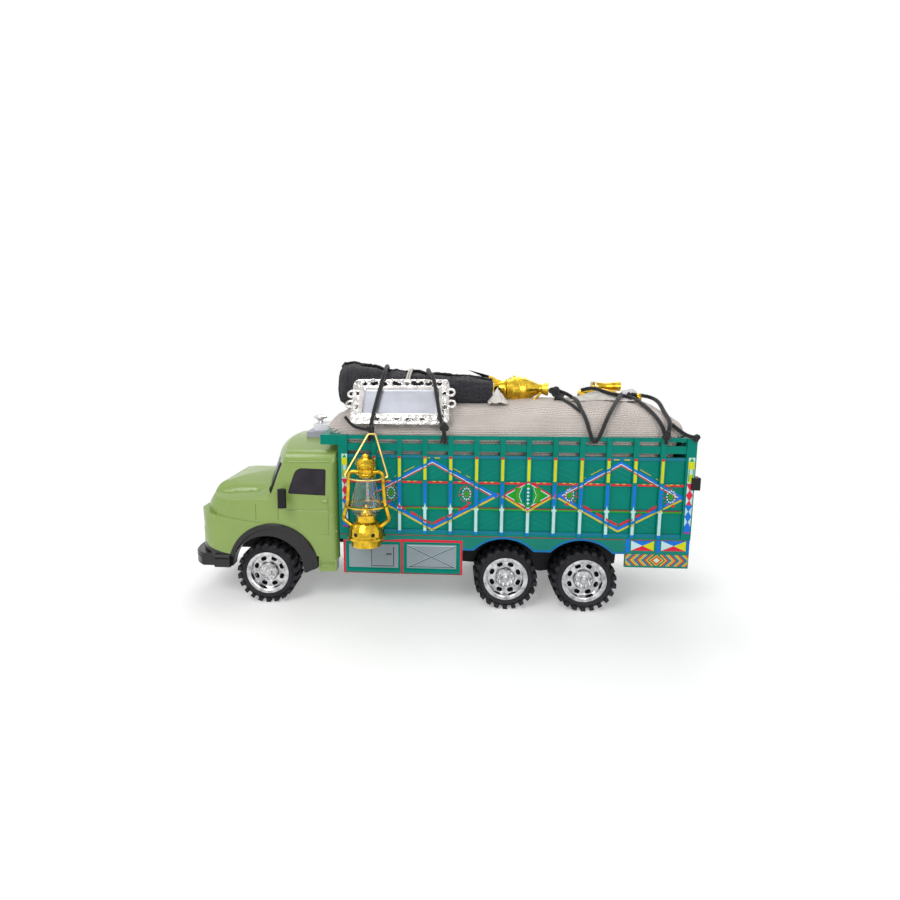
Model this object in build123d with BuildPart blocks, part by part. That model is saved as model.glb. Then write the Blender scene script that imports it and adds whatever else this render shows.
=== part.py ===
from build123d import *
from math import cos, radians, sin
import os

# Decorated toy truck, in millimetres. It faces -X, its left side faces -Y, and it stands on z = 0.

# Whole truck
total_length = 445.0
bed_half_width = 65.0
fit = 0.05               # clearance between pieces that seat in each other
free = 0.4               # clearance between pieces that move past each other
seat = 0.3               # clearance under soft pieces

# Wheels and axles
tyre_radius = 27.5
tyre_width = 26.0
tyre_bore = 17.6         # radius where the tyre sits on the wheel
tyre_shoulder = 22.5     # radius where the side wall ends
tyre_crown = 2.2         # how far the tread is drawn in from the side walls
bead_depth = 1.2         # the wheel's lip sits this far inside the side wall
lug_height = 2.2
lug_root = 1.6           # part of a lug inside the tread
lug_length = 3.9
lug_share = 0.46         # width of a lug as a share of the tyre's width
lug_count = 22
wheel_lip_radius = 19.3
wheel_face_inset = 3.0   # outer face of a tyre, in from the bed's side
hub_radius = 8.4
hand_hole_count = 8
hand_hole_ring = 12.4
hand_hole_size = (5.4, 3.8)
axle_radius = 2.0
axle_running_clearance = 0.06
front_axle_x = -148.8
middle_axle_x = 64.9
rear_axle_x = 133.0

# Chassis
chassis_front_x = -196.0
chassis_rear_x = 208.0
chassis_rail_y = 20.0    # middle of a rail
chassis_rail_width = 5.0
chassis_bottom = 44.0
chassis_top = 56.0
cross_member_width = 6.0
cross_member_inset = 2.0
bearer_half_width = 37.0
cradle_width = 12.0
cradle_drop = 6.0        # below the middle of the axle
cross_members = [-180.0, -100.0, -20.0, 30.0, 98.9, 190.0]
bed_bearers = [-60.0, 0.0, 34.0, 98.9, 160.0, 200.0]
cab_bearers = [-190.0, -95.0]

# Cab
cab_half_width = 60.0
wing_proud = 0.8         # the wings stand this far outside bonnet and doors
cab_wall = 2.0
cab_rear_x = -83.6
cab_corner_radius = 7.0
nose_x = -215.0          # front of the wings and the grille's panel
bonnet_front_x = -209.0
nose_corner_radius = 25.0
sill_z = 41.2            # underside behind the wheel arches
cab_floor_z = 66.0
cab_floor_thickness = 2.0
shoulder_z = 95.0        # edge of the bonnet's crown
bonnet_top_z = 110.5
windscreen_corner_x = -142.5
windscreen_foot_z = 103.3
windscreen_bow = 15.0    # how far the middle of the windscreen stands forward
windscreen_lean = 0.37   # back, for each millimetre up
roof_side_z = 138.0
roof_top_z = 146.5
roof_front_radius = 20.0
roof_edge_radius = 9.0
gutter_z = 130.4
gutter_proud = 0.7
lamp_y = 46.0
lamp_z = 70.0
lamp_radius = 5.6
glass_recess = 0.4
glass_thickness = 1.2
groove = 0.7             # width of the moulded door lines
groove_depth = 0.5

# Bumper, valance and wheel arches
arch_outer_radius = 41.5
arch_outer_x = -143.4
arch_outer_z = 32.0
arch_inner_radius = 33.4
arch_proud = 1.5
arch_depth = 14.0
arch_foot_z = 28.3
bumper_front_x = -total_length / 2
bumper_bottom = 32.0
bumper_top = 43.8
bumper_half_width = 62.5
bumper_rear_x = -178.5
bumper_wall = 5.0
valance_wall = 3.0

# Bed
bed_front_x = -81.2
bed_rear_x = 218.3
floor_thickness = 3.0
bed_bottom = 68.0
bed_top = 155.2
post_pitch = 22.0
post_count = 12
first_post_x = -50.2
post_width = 4.5
corner_post_width = 8.0
corner_depth = 8.0
panel_thickness = 2.0
rail_proud = 1.0         # rails stand proud of the panel
post_proud = 2.0         # posts stand proud of the panel
# rails of a side: bottom, top
side_rails = [
    (bed_bottom, 72.5),
    (90.9, 93.2),
    (114.3, 116.3),
    (135.7, 138.6),
    (142.0, 148.2),
    (151.9, bed_top),
]
panel_top = side_rails[3][1]
ledge_front_x = -96.7
ledge_bottom = 146.8
ledge_thickness = 3.0
headboard_thickness = 3.0

# Tailgate and latches
gate_thickness = 3.0
gate_rear_x = 217.5
gate_pin_z = 71.6
gate_pin_radius = 1.2
gate_post_count = 5
latch_bottom = 111.7
latch_top = 122.2

# Skirts and tool boxes
skirt_thickness = 2.0
skirt_inset = 1.0        # outer face of the skirt, in from the posts
skirt_bottom = 54.2
skirt_over_boxes = 62.6
toolbox_bottom = 31.4
toolbox_front_x = -78.3
toolbox_rear_x = 26.8
toolbox_depth = 26.0
door_recess = 0.6
# doors of the tool boxes: front, rear, bottom, top
toolbox_doors = [
    (-74.5, -28.6, 35.4, 60.0),
    (-23.6, 22.8, 35.4, 60.0),
]
rear_panel_front_x = 165.3
rear_panel_bottom = 42.5
# wheel openings of the skirt: front end, top x, top z, rear end
skirt_arches = [
    (36.6, 62.6, 65.2, 88.0),
    (102.6, 128.7, 65.4, 154.6),
]

# Load
sack_side_gap = 0.5
sack_neck_half = 52.0    # half width between the corner posts
sack_neck_top = 139.0
sack_edge_z = 162.0
sack_crown_z = 179.5
# sections of the cloth roll: x, middle y, middle z, radius
roll_sections = [
    (-89.0, -5.0, 194.5, 20.0),
    (-76.0, -5.0, 195.0, 22.0),
    (-66.0, -8.0, 194.5, 19.6),
    (-45.0, -10.0, 193.5, 18.7),
    (54.0, -10.0, 189.6, 12.8),
]
tray_lean = 39.0         # degrees from upright
tray_foot = (-28.0, -57.2, 166.0)
tray_low_edge = -2.0     # along the slope, from the foot
tray_size = (88.0, 48.6)
tray_thickness = 1.6
tray_panel_drop = 0.8
lobe_radius = 4.6
cord_radius = 1.7

# Lantern, hung on the left side
lantern_base_radius = 16.0
lantern_x = -54.9
lantern_foot_z = 64.6
lantern_tube_radius = 1.7
bail_apex_x = -51.2
bail_apex_z = 157.0
bail_apex_out = 4.0      # out from the posts' face
bail_wire = 1.0

# Mirrors
mirror_reach = 71.0
mirror_x = -130.8
mirror_size = (7.2, 4.5, 16.6)
mirror_bottom = 91.0

lantern_y = -(bed_half_width + seat + lantern_base_radius)
lantern_reach = -lantern_y + lantern_base_radius
# the middle of the whole outline is y = 0, so the truck's own middle plane is beside it
mid_y = (lantern_reach - mirror_reach) / 2


def upright(y):
    """A sketch plane along the truck at y, seen from the left side: x, z. It extrudes to -Y."""
    return Plane(origin=(0, mid_y + y, 0), x_dir=(1, 0, 0), z_dir=(0, -1, 0))


def level(z):
    """A sketch plane at height z: x, y."""
    return Plane(origin=(0, mid_y, z))


def across(x):
    """A sketch plane across the truck at x: y, z. It extrudes to +X."""
    return Plane(origin=(x, mid_y, 0), x_dir=(0, 1, 0), z_dir=(1, 0, 0))


def side_plane(side, inner, outer):
    """The upright plane from which a plate between two distances from the middle is extruded."""
    return upright(-inner if side < 0 else outer)


def between(side, inner, outer):
    """Lowest and highest y of what lies between two distances from the middle."""
    return min(side * inner, side * outer), max(side * inner, side * outer)


os.makedirs("parts", exist_ok=True)


def write(piece, label):
    piece.part.label = label
    export_step(piece.part, f"parts/{label}.step")


def box(x0, x1, y0, y1, z0, z1, mode=Mode.ADD):
    """A block between corners, inside the open part."""
    with BuildSketch(level(z0)) as footprint:
        with Locations(((x0 + x1) / 2, (y0 + y1) / 2)):
            Rectangle(x1 - x0, y1 - y0)
    return extrude(footprint.sketch, amount=z1 - z0, mode=mode)


def turned(x, y, points, mode=Mode.ADD):
    """A turned form about an upright axis, inside the open part; points are radius, height."""
    with BuildSketch(upright(y)) as outline:
        with BuildLine():
            Polyline(*[(x + r, z) for r, z in points], close=True)
        make_face()
    return revolve(outline.sketch, axis=Axis((x, mid_y + y, 0), (0, 0, 1)), mode=mode)


def tube(points, bends, radius, mode=Mode.ADD):
    """A round bar along straight runs joined by arcs, inside the open part; points are x, y, z."""
    with BuildLine() as route:
        FilletPolyline(*[(x, mid_y + y, z) for x, y, z in points], radius=bends)
    with BuildSketch(Plane(origin=route.line @ 0, z_dir=route.line % 0)) as section:
        Circle(radius)
    return sweep(section.sketch, path=route.line, mode=mode)


# Tyres, wheels and axles

wheel_outer_y = bed_half_width - wheel_face_inset
wheel_inner_y = wheel_outer_y - tyre_width
wheel_lip_thickness = 0.2
wheel_face = bead_depth - wheel_lip_thickness
disc_depth = 6.0
hub_depth = 2.5
# half section of a wheel: in from the tyre's outer side wall, radius
wheel_section = [
    (wheel_face + 0.6, 15.8),
    (wheel_face, 16.8),
    (wheel_face, wheel_lip_radius),
    (bead_depth, wheel_lip_radius),
    (bead_depth, tyre_bore),
    (tyre_width - 1.0, tyre_bore),
    (tyre_width - 1.0, tyre_bore - 1.6),
    (disc_depth + 2.0, 15.6),
    (disc_depth + 2.0, 9.4),
    (disc_depth + 6.0, 5.0),
    (tyre_width - 1.0, 5.0),
    (tyre_width - 1.0, axle_radius),
    (disc_depth, axle_radius),
    (disc_depth, 0.0),
    (hub_depth + 0.6, 0.0),
    (hub_depth + 0.6, hub_radius - 2.0),
    (hub_depth, hub_radius - 1.6),
    (hub_depth, hub_radius - 0.8),
    (hub_depth + 1.0, hub_radius),
    (disc_depth, hub_radius + 0.8),
    (disc_depth, 15.0),
]


def tyre(axle_x, side, label):
    """side is -1 on the left and 1 on the right."""
    tread_radius = tyre_radius - lug_height
    # half section: in from the outer side wall, radius
    section = [
        (tyre_width, tyre_bore),
        (tyre_width, tyre_shoulder),
        (tyre_width - tyre_crown, tread_radius),
        (tyre_crown, tread_radius),
        (0.0, tyre_shoulder),
        (bead_depth, wheel_lip_radius),
        (bead_depth, tyre_bore),
    ]
    lug_width = tyre_width * lug_share
    lug_middle = tyre_radius - (lug_height + lug_root) / 2
    half_pitch = 180 / lug_count
    with BuildPart() as name:
        with BuildSketch(across(axle_x)):
            with BuildLine():
                Polyline(*[(side * (wheel_outer_y - d), tyre_radius + r) for d, r in section], close=True)
            make_face()
        revolve(axis=Axis((axle_x, 0, tyre_radius), (0, 1, 0)))
        # outer and inner row of lugs, half a pitch apart
        for turn, outer in ((0, wheel_outer_y), (half_pitch, wheel_inner_y + lug_width)):
            with BuildSketch(side_plane(side, outer - lug_width, outer)):
                with Locations((axle_x, tyre_radius)):
                    with PolarLocations(lug_middle, lug_count, start_angle=turn - 90):
                        Rectangle(lug_height + lug_root, lug_length)
            extrude(amount=lug_width)
    write(name, label)


def wheel(axle_x, side, label):
    with BuildPart() as name:
        with BuildSketch(across(axle_x)):
            with BuildLine():
                Polyline(*[(side * (wheel_outer_y - d), tyre_radius + r) for d, r in wheel_section], close=True)
            make_face()
        revolve(axis=Axis((axle_x, 0, tyre_radius), (0, 1, 0)))
        with BuildSketch(side_plane(side, wheel_outer_y - 2 * disc_depth, wheel_outer_y)):
            with Locations((axle_x, tyre_radius)):
                with PolarLocations(hand_hole_ring, hand_hole_count, start_angle=180 / hand_hole_count):
                    SlotOverall(*hand_hole_size, rotation=90)
        extrude(amount=2 * disc_depth, mode=Mode.SUBTRACT)
    write(name, label)


def axle(axle_x, label):
    end = wheel_outer_y - disc_depth
    with BuildPart() as name:
        with BuildSketch(upright(end)):
            with Locations((axle_x, tyre_radius)):
                Circle(axle_radius)
        extrude(amount=2 * end)
    write(name, label)


axles = [("front", front_axle_x), ("middle", middle_axle_x), ("rear", rear_axle_x)]
for place, axle_x in axles:
    axle(axle_x, f"axle_{place}")
    for hand, side in (("left", -1), ("right", 1)):
        tyre(axle_x, side, f"tyre_{place}_{hand}")
        wheel(axle_x, side, f"wheel_{place}_{hand}")


# Chassis: two rails, cross members, axle cradles, bogie brackets and the bearers under cab and bed

rail_in = chassis_rail_y - chassis_rail_width / 2
rail_out = chassis_rail_y + chassis_rail_width / 2
bogie_x = (middle_axle_x + rear_axle_x) / 2
bogie_half = 8.0
with BuildPart() as chassis:
    for side in (-1, 1):
        box(chassis_front_x, chassis_rear_x, *between(side, rail_in, rail_out), chassis_bottom, chassis_top)
        for place, axle_x in axles:
            box(
                axle_x - cradle_width / 2, axle_x + cradle_width / 2,
                *between(side, rail_in, rail_out), tyre_radius - cradle_drop, chassis_bottom,
            )
        # the bracket that fills the space between the two rear wheels
        box(
            bogie_x - bogie_half, bogie_x + bogie_half, *between(side, rail_out - 1.5, wheel_inner_y - 1.0),
            chassis_bottom - 9.0, chassis_top - 3.0,
        )
    for x in cross_members:
        box(
            x - cross_member_width / 2, x + cross_member_width / 2, -chassis_rail_y, chassis_rail_y,
            chassis_bottom + cross_member_inset, chassis_top - cross_member_inset,
        )
    for x in bed_bearers:
        box(x - 2, x + 2, -bearer_half_width, bearer_half_width, chassis_top, bed_bottom - floor_thickness)
    for x in cab_bearers:
        box(x - 3, x + 3, -rail_out - 7.5, rail_out + 7.5, chassis_top, cab_floor_z)
    for place, axle_x in axles:
        with BuildSketch(upright(chassis_rail_y + cradle_width)):
            with Locations((axle_x, tyre_radius)):
                Circle(axle_radius + axle_running_clearance)
        extrude(amount=2 * (chassis_rail_y + cradle_width), mode=Mode.SUBTRACT)
write(chassis, "chassis")


# Cab: one hollow moulding

body_half_width = cab_half_width - wing_proud
wing_rear_x = -150.0
bow_radius = (body_half_width ** 2 + windscreen_bow ** 2) / (2 * windscreen_bow)
bow_x = windscreen_corner_x - windscreen_bow + bow_radius
roof_cap = 0.6           # the turned front is this much taller than the crowned roof
crown_overlap = 1.0      # the crown's sketch is wider than the body by this, and lower there
crown_drop = 0.57


def bonnet_and_doors(inset):
    """Everything below the windows but the wings, as a solid drawn in by inset."""
    half = body_half_width - inset
    with BuildPart() as body:
        with BuildSketch(level(0)):
            with Locations(((bonnet_front_x + cab_rear_x) / 2, 0)):
                Rectangle(cab_rear_x - bonnet_front_x - 2 * inset, 2 * half)
            fillet(vertices().group_by(Axis.X)[0], radius=nose_corner_radius - inset)
            fillet(vertices().group_by(Axis.X)[-1], radius=cab_corner_radius - inset)
        extrude(amount=bonnet_top_z)
        with BuildSketch(upright(cab_half_width)):
            with BuildLine():
                crest = [(bonnet_front_x, 94.0), (bonnet_front_x + 4.2, 102.0), (-193.0, 106.5)]
                ThreePointArc(*crest)
                ThreePointArc((-193.0, 106.5), (-178.0, 109.2), (-160.0, bonnet_top_z))
                Polyline(
                    (-160.0, bonnet_top_z), (cab_rear_x, bonnet_top_z), (cab_rear_x, 0),
                    (bonnet_front_x, 0), (bonnet_front_x, 94.0),
                )
            make_face()
            if inset:
                offset(amount=-inset, mode=Mode.REPLACE)
        extrude(amount=2 * cab_half_width, mode=Mode.INTERSECT)
        with BuildSketch(across(nose_x)):
            with BuildLine():
                edge, edge_z = half + crown_overlap, shoulder_z - inset - crown_drop
                Polyline((-edge, edge_z), (-edge, 0), (edge, 0), (edge, edge_z))
                ThreePointArc((edge, edge_z), (0, bonnet_top_z - inset), (-edge, edge_z))
            make_face()
        extrude(amount=cab_rear_x - nose_x, mode=Mode.INTERSECT)
    return body.part


def wings(inset):
    """The lower nose and the wings, as a solid drawn in by inset."""
    half = cab_half_width - inset
    with BuildPart() as nose:
        with BuildSketch(level(0)):
            with Locations(((nose_x + wing_rear_x) / 2 + inset, 0)):
                Rectangle(wing_rear_x - nose_x, 2 * half)
            fillet(vertices().group_by(Axis.X)[0], radius=nose_corner_radius - inset)
        extrude(amount=shoulder_z)
        with BuildSketch(upright(cab_half_width)):
            with BuildLine():
                Polyline(
                    (wing_rear_x + inset, 0), (nose_x + inset, 0), (nose_x + inset, 81.5 - inset),
                    (nose_x + 2.5 + inset, 84.0 - inset), (-205.0, 82.3 - inset), (-172.6, 76.3 - inset),
                    (wing_rear_x + inset, 73.2 - inset), close=True,
                )
            make_face()
        extrude(amount=2 * cab_half_width, mode=Mode.INTERSECT)
    return nose.part


def greenhouse(inset):
    """Pillars and roof, as a solid drawn in by inset: a leaning, bowed front, upright sides and a crowned roof."""
    half = body_half_width - inset
    base_z = shoulder_z - 7.0
    cap_z = roof_top_z + roof_cap - inset
    with BuildPart() as house:
        with BuildSketch(upright(0)):
            with BuildLine():
                Polyline(
                    (bow_x, base_z),
                    (bow_x - bow_radius - (windscreen_foot_z - base_z) * windscreen_lean + inset, base_z),
                    (bow_x - bow_radius + (cap_z - windscreen_foot_z) * windscreen_lean + inset, cap_z),
                    (bow_x, cap_z), close=True,
                )
            make_face()
            fillet(vertices().group_by(Axis.Y)[-1].sort_by(Axis.X)[0], radius=roof_front_radius - inset)
        revolve(axis=Axis((bow_x, mid_y, 0), (0, 0, 1)))
        with BuildSketch(level(base_z)):
            with Locations(((nose_x + cab_rear_x) / 2, 0)):
                Rectangle(cab_rear_x - nose_x - 2 * inset, 2 * half)
            fillet(vertices().group_by(Axis.X)[-1], radius=cab_corner_radius - inset)
        extrude(amount=cap_z, mode=Mode.INTERSECT)
        with BuildSketch(across(nose_x)):
            with BuildLine():
                Polyline((-half, roof_side_z - inset), (-half, 0), (half, 0), (half, roof_side_z - inset))
                ThreePointArc((half, roof_side_z - inset), (0, roof_top_z - inset), (-half, roof_side_z - inset))
            make_face()
            fillet(vertices().group_by(Axis.Y)[-1], radius=roof_edge_radius - inset)
        extrude(amount=cab_rear_x - nose_x, mode=Mode.INTERSECT)
    return house.part


def cab_form(inset):
    return bonnet_and_doors(inset) + wings(inset) + greenhouse(inset)


side_window = [(-128.7, 101.2), (-94.6, 99.9), (-93.6, 123.9), (-120.4, 124.6)]
windscreen_half = 51.0
windscreen_top_z = 131.0
rear_window_size = (70.0, 20.0)


def window_cuts(inset):
    """Openings of the windscreen, side windows and rear window, drawn in by inset."""
    with BuildPart() as cuts:
        with BuildSketch(upright(cab_half_width + 1)):
            with BuildLine():
                Polyline(*side_window, close=True)
            make_face()
            fillet(vertices().sort_by(Axis.X)[1], radius=8.0)
            fillet(vertices().group_by(Axis.X)[-1] + vertices().group_by(Axis.X)[0], radius=1.6)
            if inset:
                offset(amount=-inset, mode=Mode.REPLACE)
        extrude(amount=2 * cab_half_width + 2)
        with BuildSketch(across(windscreen_corner_x - windscreen_bow - 8)):
            with BuildLine():
                low, high = windscreen_foot_z - 0.3, windscreen_top_z
                Polyline((-windscreen_half, low), (-windscreen_half + 2, high))
                ThreePointArc((-windscreen_half + 2, high), (0, high + 2.0), (windscreen_half - 2, high))
                Line((windscreen_half - 2, high), (windscreen_half, low))
                ThreePointArc((windscreen_half, low), (0, bonnet_top_z + 3.5), (-windscreen_half, low))
            make_face()
            fillet(vertices(), radius=3.0)
            if inset:
                offset(amount=-inset, mode=Mode.REPLACE)
        extrude(amount=40)
        with BuildSketch(across(cab_rear_x - 2 * cab_wall)):
            with Locations((0, 118.0)):
                RectangleRounded(rear_window_size[0] - 2 * inset, rear_window_size[1] - 2 * inset, radius=3)
        extrude(amount=3 * cab_wall)
    return cuts.part


# the line along which the green nose ends above the black valance, seen from the side
valance_line = [
    (nose_x - 1, 53.0), (-209.0, 53.0), (-204.0, 49.7), (-184.8, 44.4), (-180.0, 43.6),
]


def below_valance_line(gap):
    """The space below the valance line, lowered by gap."""
    with BuildPart() as space:
        with BuildSketch(upright(cab_half_width + 1)):
            with BuildLine():
                Polyline(
                    *[(x, z - gap) for x, z in valance_line],
                    (-180.0, bumper_top - 2), (nose_x - 1, bumper_top - 2), close=True,
                )
            make_face()
        extrude(amount=2 * cab_half_width + 2)
    return space.part


outer_form = cab_form(0)
inner_form = cab_form(cab_wall)
# moulded lines on both sides: x, z of one end, then of the other
door_lines = [
    (-158.0, 76.6, -158.0, 90.5),
    (-137.6, 77.0, -137.6, 100.0),
    (-137.6, 86.4, -90.5, 86.4),
    (-92.2, 64.2, -92.2, 98.0),
    (-101.6, 64.2, -92.2, 64.2),
]
handle = (-98.3, -93.3, 93.6, 95.4)
step_front_x = -101.8
step_rear_x = -85.9
step_bottom = 29.7
step_depth = 12.0
step_edge = 1.5
with BuildPart() as cab:
    add(outer_form)
    add(inner_form, mode=Mode.SUBTRACT)
    box(
        chassis_front_x, cab_rear_x - cab_wall / 2, -body_half_width + 1, body_half_width - 1,
        cab_floor_z, cab_floor_z + cab_floor_thickness,
    )
    # open below: nose, sills and the rear wall under the floor
    box(nose_x - 1, step_front_x, -70, 70, 0, bumper_top, mode=Mode.SUBTRACT)
    box(step_front_x, cab_rear_x + 1, -70, 70, 0, sill_z, mode=Mode.SUBTRACT)
    box(
        step_front_x, cab_rear_x + 1, -body_half_width + cab_corner_radius, body_half_width - cab_corner_radius,
        0, cab_floor_z, mode=Mode.SUBTRACT,
    )
    add(below_valance_line(0), mode=Mode.SUBTRACT)
    with BuildSketch(upright(cab_half_width + 1)):
        with Locations((arch_outer_x, arch_outer_z)):
            Circle(arch_outer_radius + fit)
    extrude(amount=2 * cab_half_width + 2, mode=Mode.SUBTRACT)
    box(
        arch_outer_x - arch_outer_radius, arch_outer_x + arch_outer_radius,
        -wheel_inner_y + 5, wheel_inner_y - 5, cab_floor_z, cab_floor_z + cab_floor_thickness,
    )
    add(window_cuts(0), mode=Mode.SUBTRACT)
    with BuildSketch(across(nose_x - 1)):
        with Locations((-lamp_y, lamp_z), (lamp_y, lamp_z)):
            Circle(lamp_radius + fit)
    extrude(amount=nose_corner_radius / 2, mode=Mode.SUBTRACT)
    for side in (-1, 1):
        for x0, z0, x1, z1 in door_lines:
            box(
                x0 - groove / 2, x1 + groove / 2,
                *between(side, body_half_width - groove_depth, cab_half_width + 1),
                z0 - groove / 2, z1 + groove / 2, mode=Mode.SUBTRACT,
            )
        box(handle[0], handle[1], *between(side, body_half_width - 1, body_half_width + 0.9), handle[2], handle[3])
        box(
            windscreen_corner_x + 16, cab_rear_x - cab_corner_radius,
            *between(side, body_half_width - 1, body_half_width + gutter_proud),
            gutter_z - 0.6, gutter_z + 0.6,
        )
        # the step, a small box with a recess in its face
        box(step_front_x, step_rear_x, *between(side, body_half_width - step_depth, body_half_width), step_bottom, sill_z)
        box(
            step_front_x + step_edge, step_rear_x - step_edge, *between(side, body_half_width - 2.0, cab_half_width),
            step_bottom + 3.0, sill_z - 3.2, mode=Mode.SUBTRACT,
        )
write(cab, "cab")

glass_form = cab_form(glass_recess)
glass_back = cab_form(glass_recess + glass_thickness)
with BuildPart() as glazing:
    add(glass_form & window_cuts(fit))
    add(glass_back, mode=Mode.SUBTRACT)
write(glazing, "cab_glazing")

with BuildPart() as lamps:
    with BuildSketch(across(nose_x - 1)):
        with Locations((-lamp_y, lamp_z), (lamp_y, lamp_z)):
            Circle(lamp_radius)
    extrude(amount=nose_corner_radius / 2)
    add(outer_form, mode=Mode.INTERSECT)
    add(inner_form, mode=Mode.SUBTRACT)
write(lamps, "headlamps")


# Bumper, valance and wheel arches: one black moulding round the front

# half section of an arch: out from the middle of the truck, radius
arch_face = cab_half_width + arch_proud
arch_section = [
    (arch_face - arch_depth, arch_inner_radius - 6.0),
    (arch_face - 1.5, arch_inner_radius - 6.0),
    (arch_face - 1.5, 36.2),
    (arch_face, 36.9),
    (arch_face, arch_outer_radius - 1.2),
    (arch_face - 1.1, arch_outer_radius),
    (arch_face - arch_depth, arch_outer_radius),
]
# section of the bumper bar: in from its outer face, z
bumper_section = [
    (0.8, bumper_bottom), (0.0, bumper_bottom + 1.0), (0.0, 40.0), (0.9, 40.5), (0.9, 41.2), (0.0, 41.7),
    (0.0, 42.4), (1.4, bumper_top), (bumper_wall, bumper_top), (bumper_wall, bumper_bottom),
]
with BuildPart() as fender:
    for side in (-1, 1):
        with BuildSketch(across(arch_outer_x)):
            with BuildLine():
                Polyline(*[(side * y, arch_outer_z + r) for y, r in arch_section], close=True)
            make_face()
        revolve(axis=Axis((arch_outer_x, 0, arch_outer_z), (0, 1, 0)))
    # the opening about the wheel, and the foot behind it
    with BuildSketch(upright(cab_half_width + 5)):
        with Locations((front_axle_x, tyre_radius + 1.0)):
            Circle(arch_inner_radius)
        with BuildLine():
            Polyline(
                (-200, -20), (-200, bumper_bottom), (front_axle_x - 20, bumper_bottom), (front_axle_x, arch_foot_z),
                (-113.0, arch_foot_z), (-101.0, arch_foot_z + 6.0), (-90, arch_foot_z + 6.0), (-90, -20), close=True,
            )
        make_face()
    extrude(amount=2 * cab_half_width + 10, mode=Mode.SUBTRACT)
    # the bar goes round the nose and ends in front of the arches
    with BuildLine() as bar_line:
        FilletPolyline(
            (bumper_rear_x, mid_y - bumper_half_width, bumper_bottom),
            (bumper_front_x, mid_y - bumper_half_width, bumper_bottom),
            (bumper_front_x, mid_y + bumper_half_width, bumper_bottom),
            (bumper_rear_x, mid_y + bumper_half_width, bumper_bottom),
            radius=nose_corner_radius + 2,
        )
    bar_start = Plane(
        origin=(bumper_rear_x, mid_y - bumper_half_width, 0), x_dir=(0, 1, 0), z_dir=(-1, 0, 0),
    )
    with BuildSketch(bar_start) as bar_section:
        with BuildLine():
            Polyline(*[(d, -z) for d, z in bumper_section], close=True)
        make_face()
    sweep(bar_section.sketch, path=bar_line.line)
    with BuildSketch(upright(cab_half_width + 5)):
        with Locations((front_axle_x, tyre_radius + 1.0)):
            Circle(arch_inner_radius)
    extrude(amount=2 * cab_half_width + 10, mode=Mode.SUBTRACT)
    # the valance carries the nose's form down to the bar
    add((outer_form & below_valance_line(fit)) - cab_form(valance_wall))
write(fender, "bumper_and_arches")


# Grille, mirrors, roof box and its knob

grille_half = 34.0
grille_proud = 4.5
grille_bottom = 56.5
grille_top = 80.5
slat_pitch = 4.9
slat_thickness = 2.5
with BuildPart() as grille:
    box(nose_x - 1.0, nose_x, -grille_half, grille_half, grille_bottom, grille_top)
    for i in range(5):
        with BuildSketch(level(grille_bottom + 0.8 + i * slat_pitch)):
            with BuildLine():
                Polyline(
                    (nose_x - 2.5, -grille_half), (nose_x, -grille_half), (nose_x, grille_half),
                    (nose_x - 2.5, grille_half),
                )
                ThreePointArc(
                    (nose_x - 2.5, grille_half), (nose_x - grille_proud, 0), (nose_x - 2.5, -grille_half),
                )
            make_face()
        extrude(amount=slat_thickness)
write(grille, "grille")

mirror_length, mirror_thickness, mirror_height = mirror_size
mirror_arm_z = 103.6
with BuildPart() as mirrors:
    for side in (-1, 1):
        with BuildSketch(level(mirror_bottom)):
            with Locations((mirror_x, side * (mirror_reach - mirror_thickness / 2))):
                RectangleRounded(mirror_length, mirror_thickness, radius=1.6)
        extrude(amount=mirror_height)
        box(
            mirror_x - 3.0, mirror_x - 0.4, *between(side, body_half_width, mirror_reach - mirror_thickness + 1),
            mirror_arm_z, mirror_arm_z + 2.4,
        )
write(mirrors, "mirrors")

# the grey lower part sits on the crown of the roof, the white one on top
roof_box_front_x = -120.0
roof_box_step_z = 151.0
roof_box_top_z = 157.0
with BuildPart() as roof_box:
    box(roof_box_front_x, roof_box_front_x + 21.0, -19.5, 19.5, roof_top_z - 3.0, roof_box_step_z)
    with BuildSketch(level(roof_box_step_z)):
        with Locations((roof_box_front_x + 13.5, 0)):
            RectangleRounded(17.0, 28.0, radius=3)
    extrude(amount=roof_box_top_z - roof_box_step_z)
    add(outer_form, mode=Mode.SUBTRACT)
write(roof_box, "roof_box")

with BuildPart() as knob:
    turned(roof_box_front_x + 9.0, 0, [
        (0, roof_box_top_z), (2.6, roof_box_top_z), (2.2, roof_box_top_z + 2.0), (3.6, roof_box_top_z + 3.6),
        (6.6, roof_box_top_z + 4.8), (6.6, roof_box_top_z + 6.4), (4.0, roof_box_top_z + 7.6),
        (0, roof_box_top_z + 8.0),
    ])
write(knob, "roof_knob")


# Bed: floor, sides with rails and posts, headboard with the ledge over the cab

panel_outer = bed_half_width - post_proud
panel_inner = panel_outer - panel_thickness
rail_outer = panel_outer + rail_proud
corner_inner = bed_half_width - corner_depth
corner_rear_front_x = bed_rear_x - corner_post_width
gate_front_x = gate_rear_x - gate_thickness
gate_pin_x = gate_rear_x - gate_thickness / 2
gate_pin_end = bed_half_width - 3.0

with BuildPart() as floor:
    box(
        bed_front_x, gate_front_x - free, -panel_inner - 1.0, panel_inner + 1.0,
        bed_bottom - floor_thickness, bed_bottom,
    )
write(floor, "bed_floor")

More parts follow.
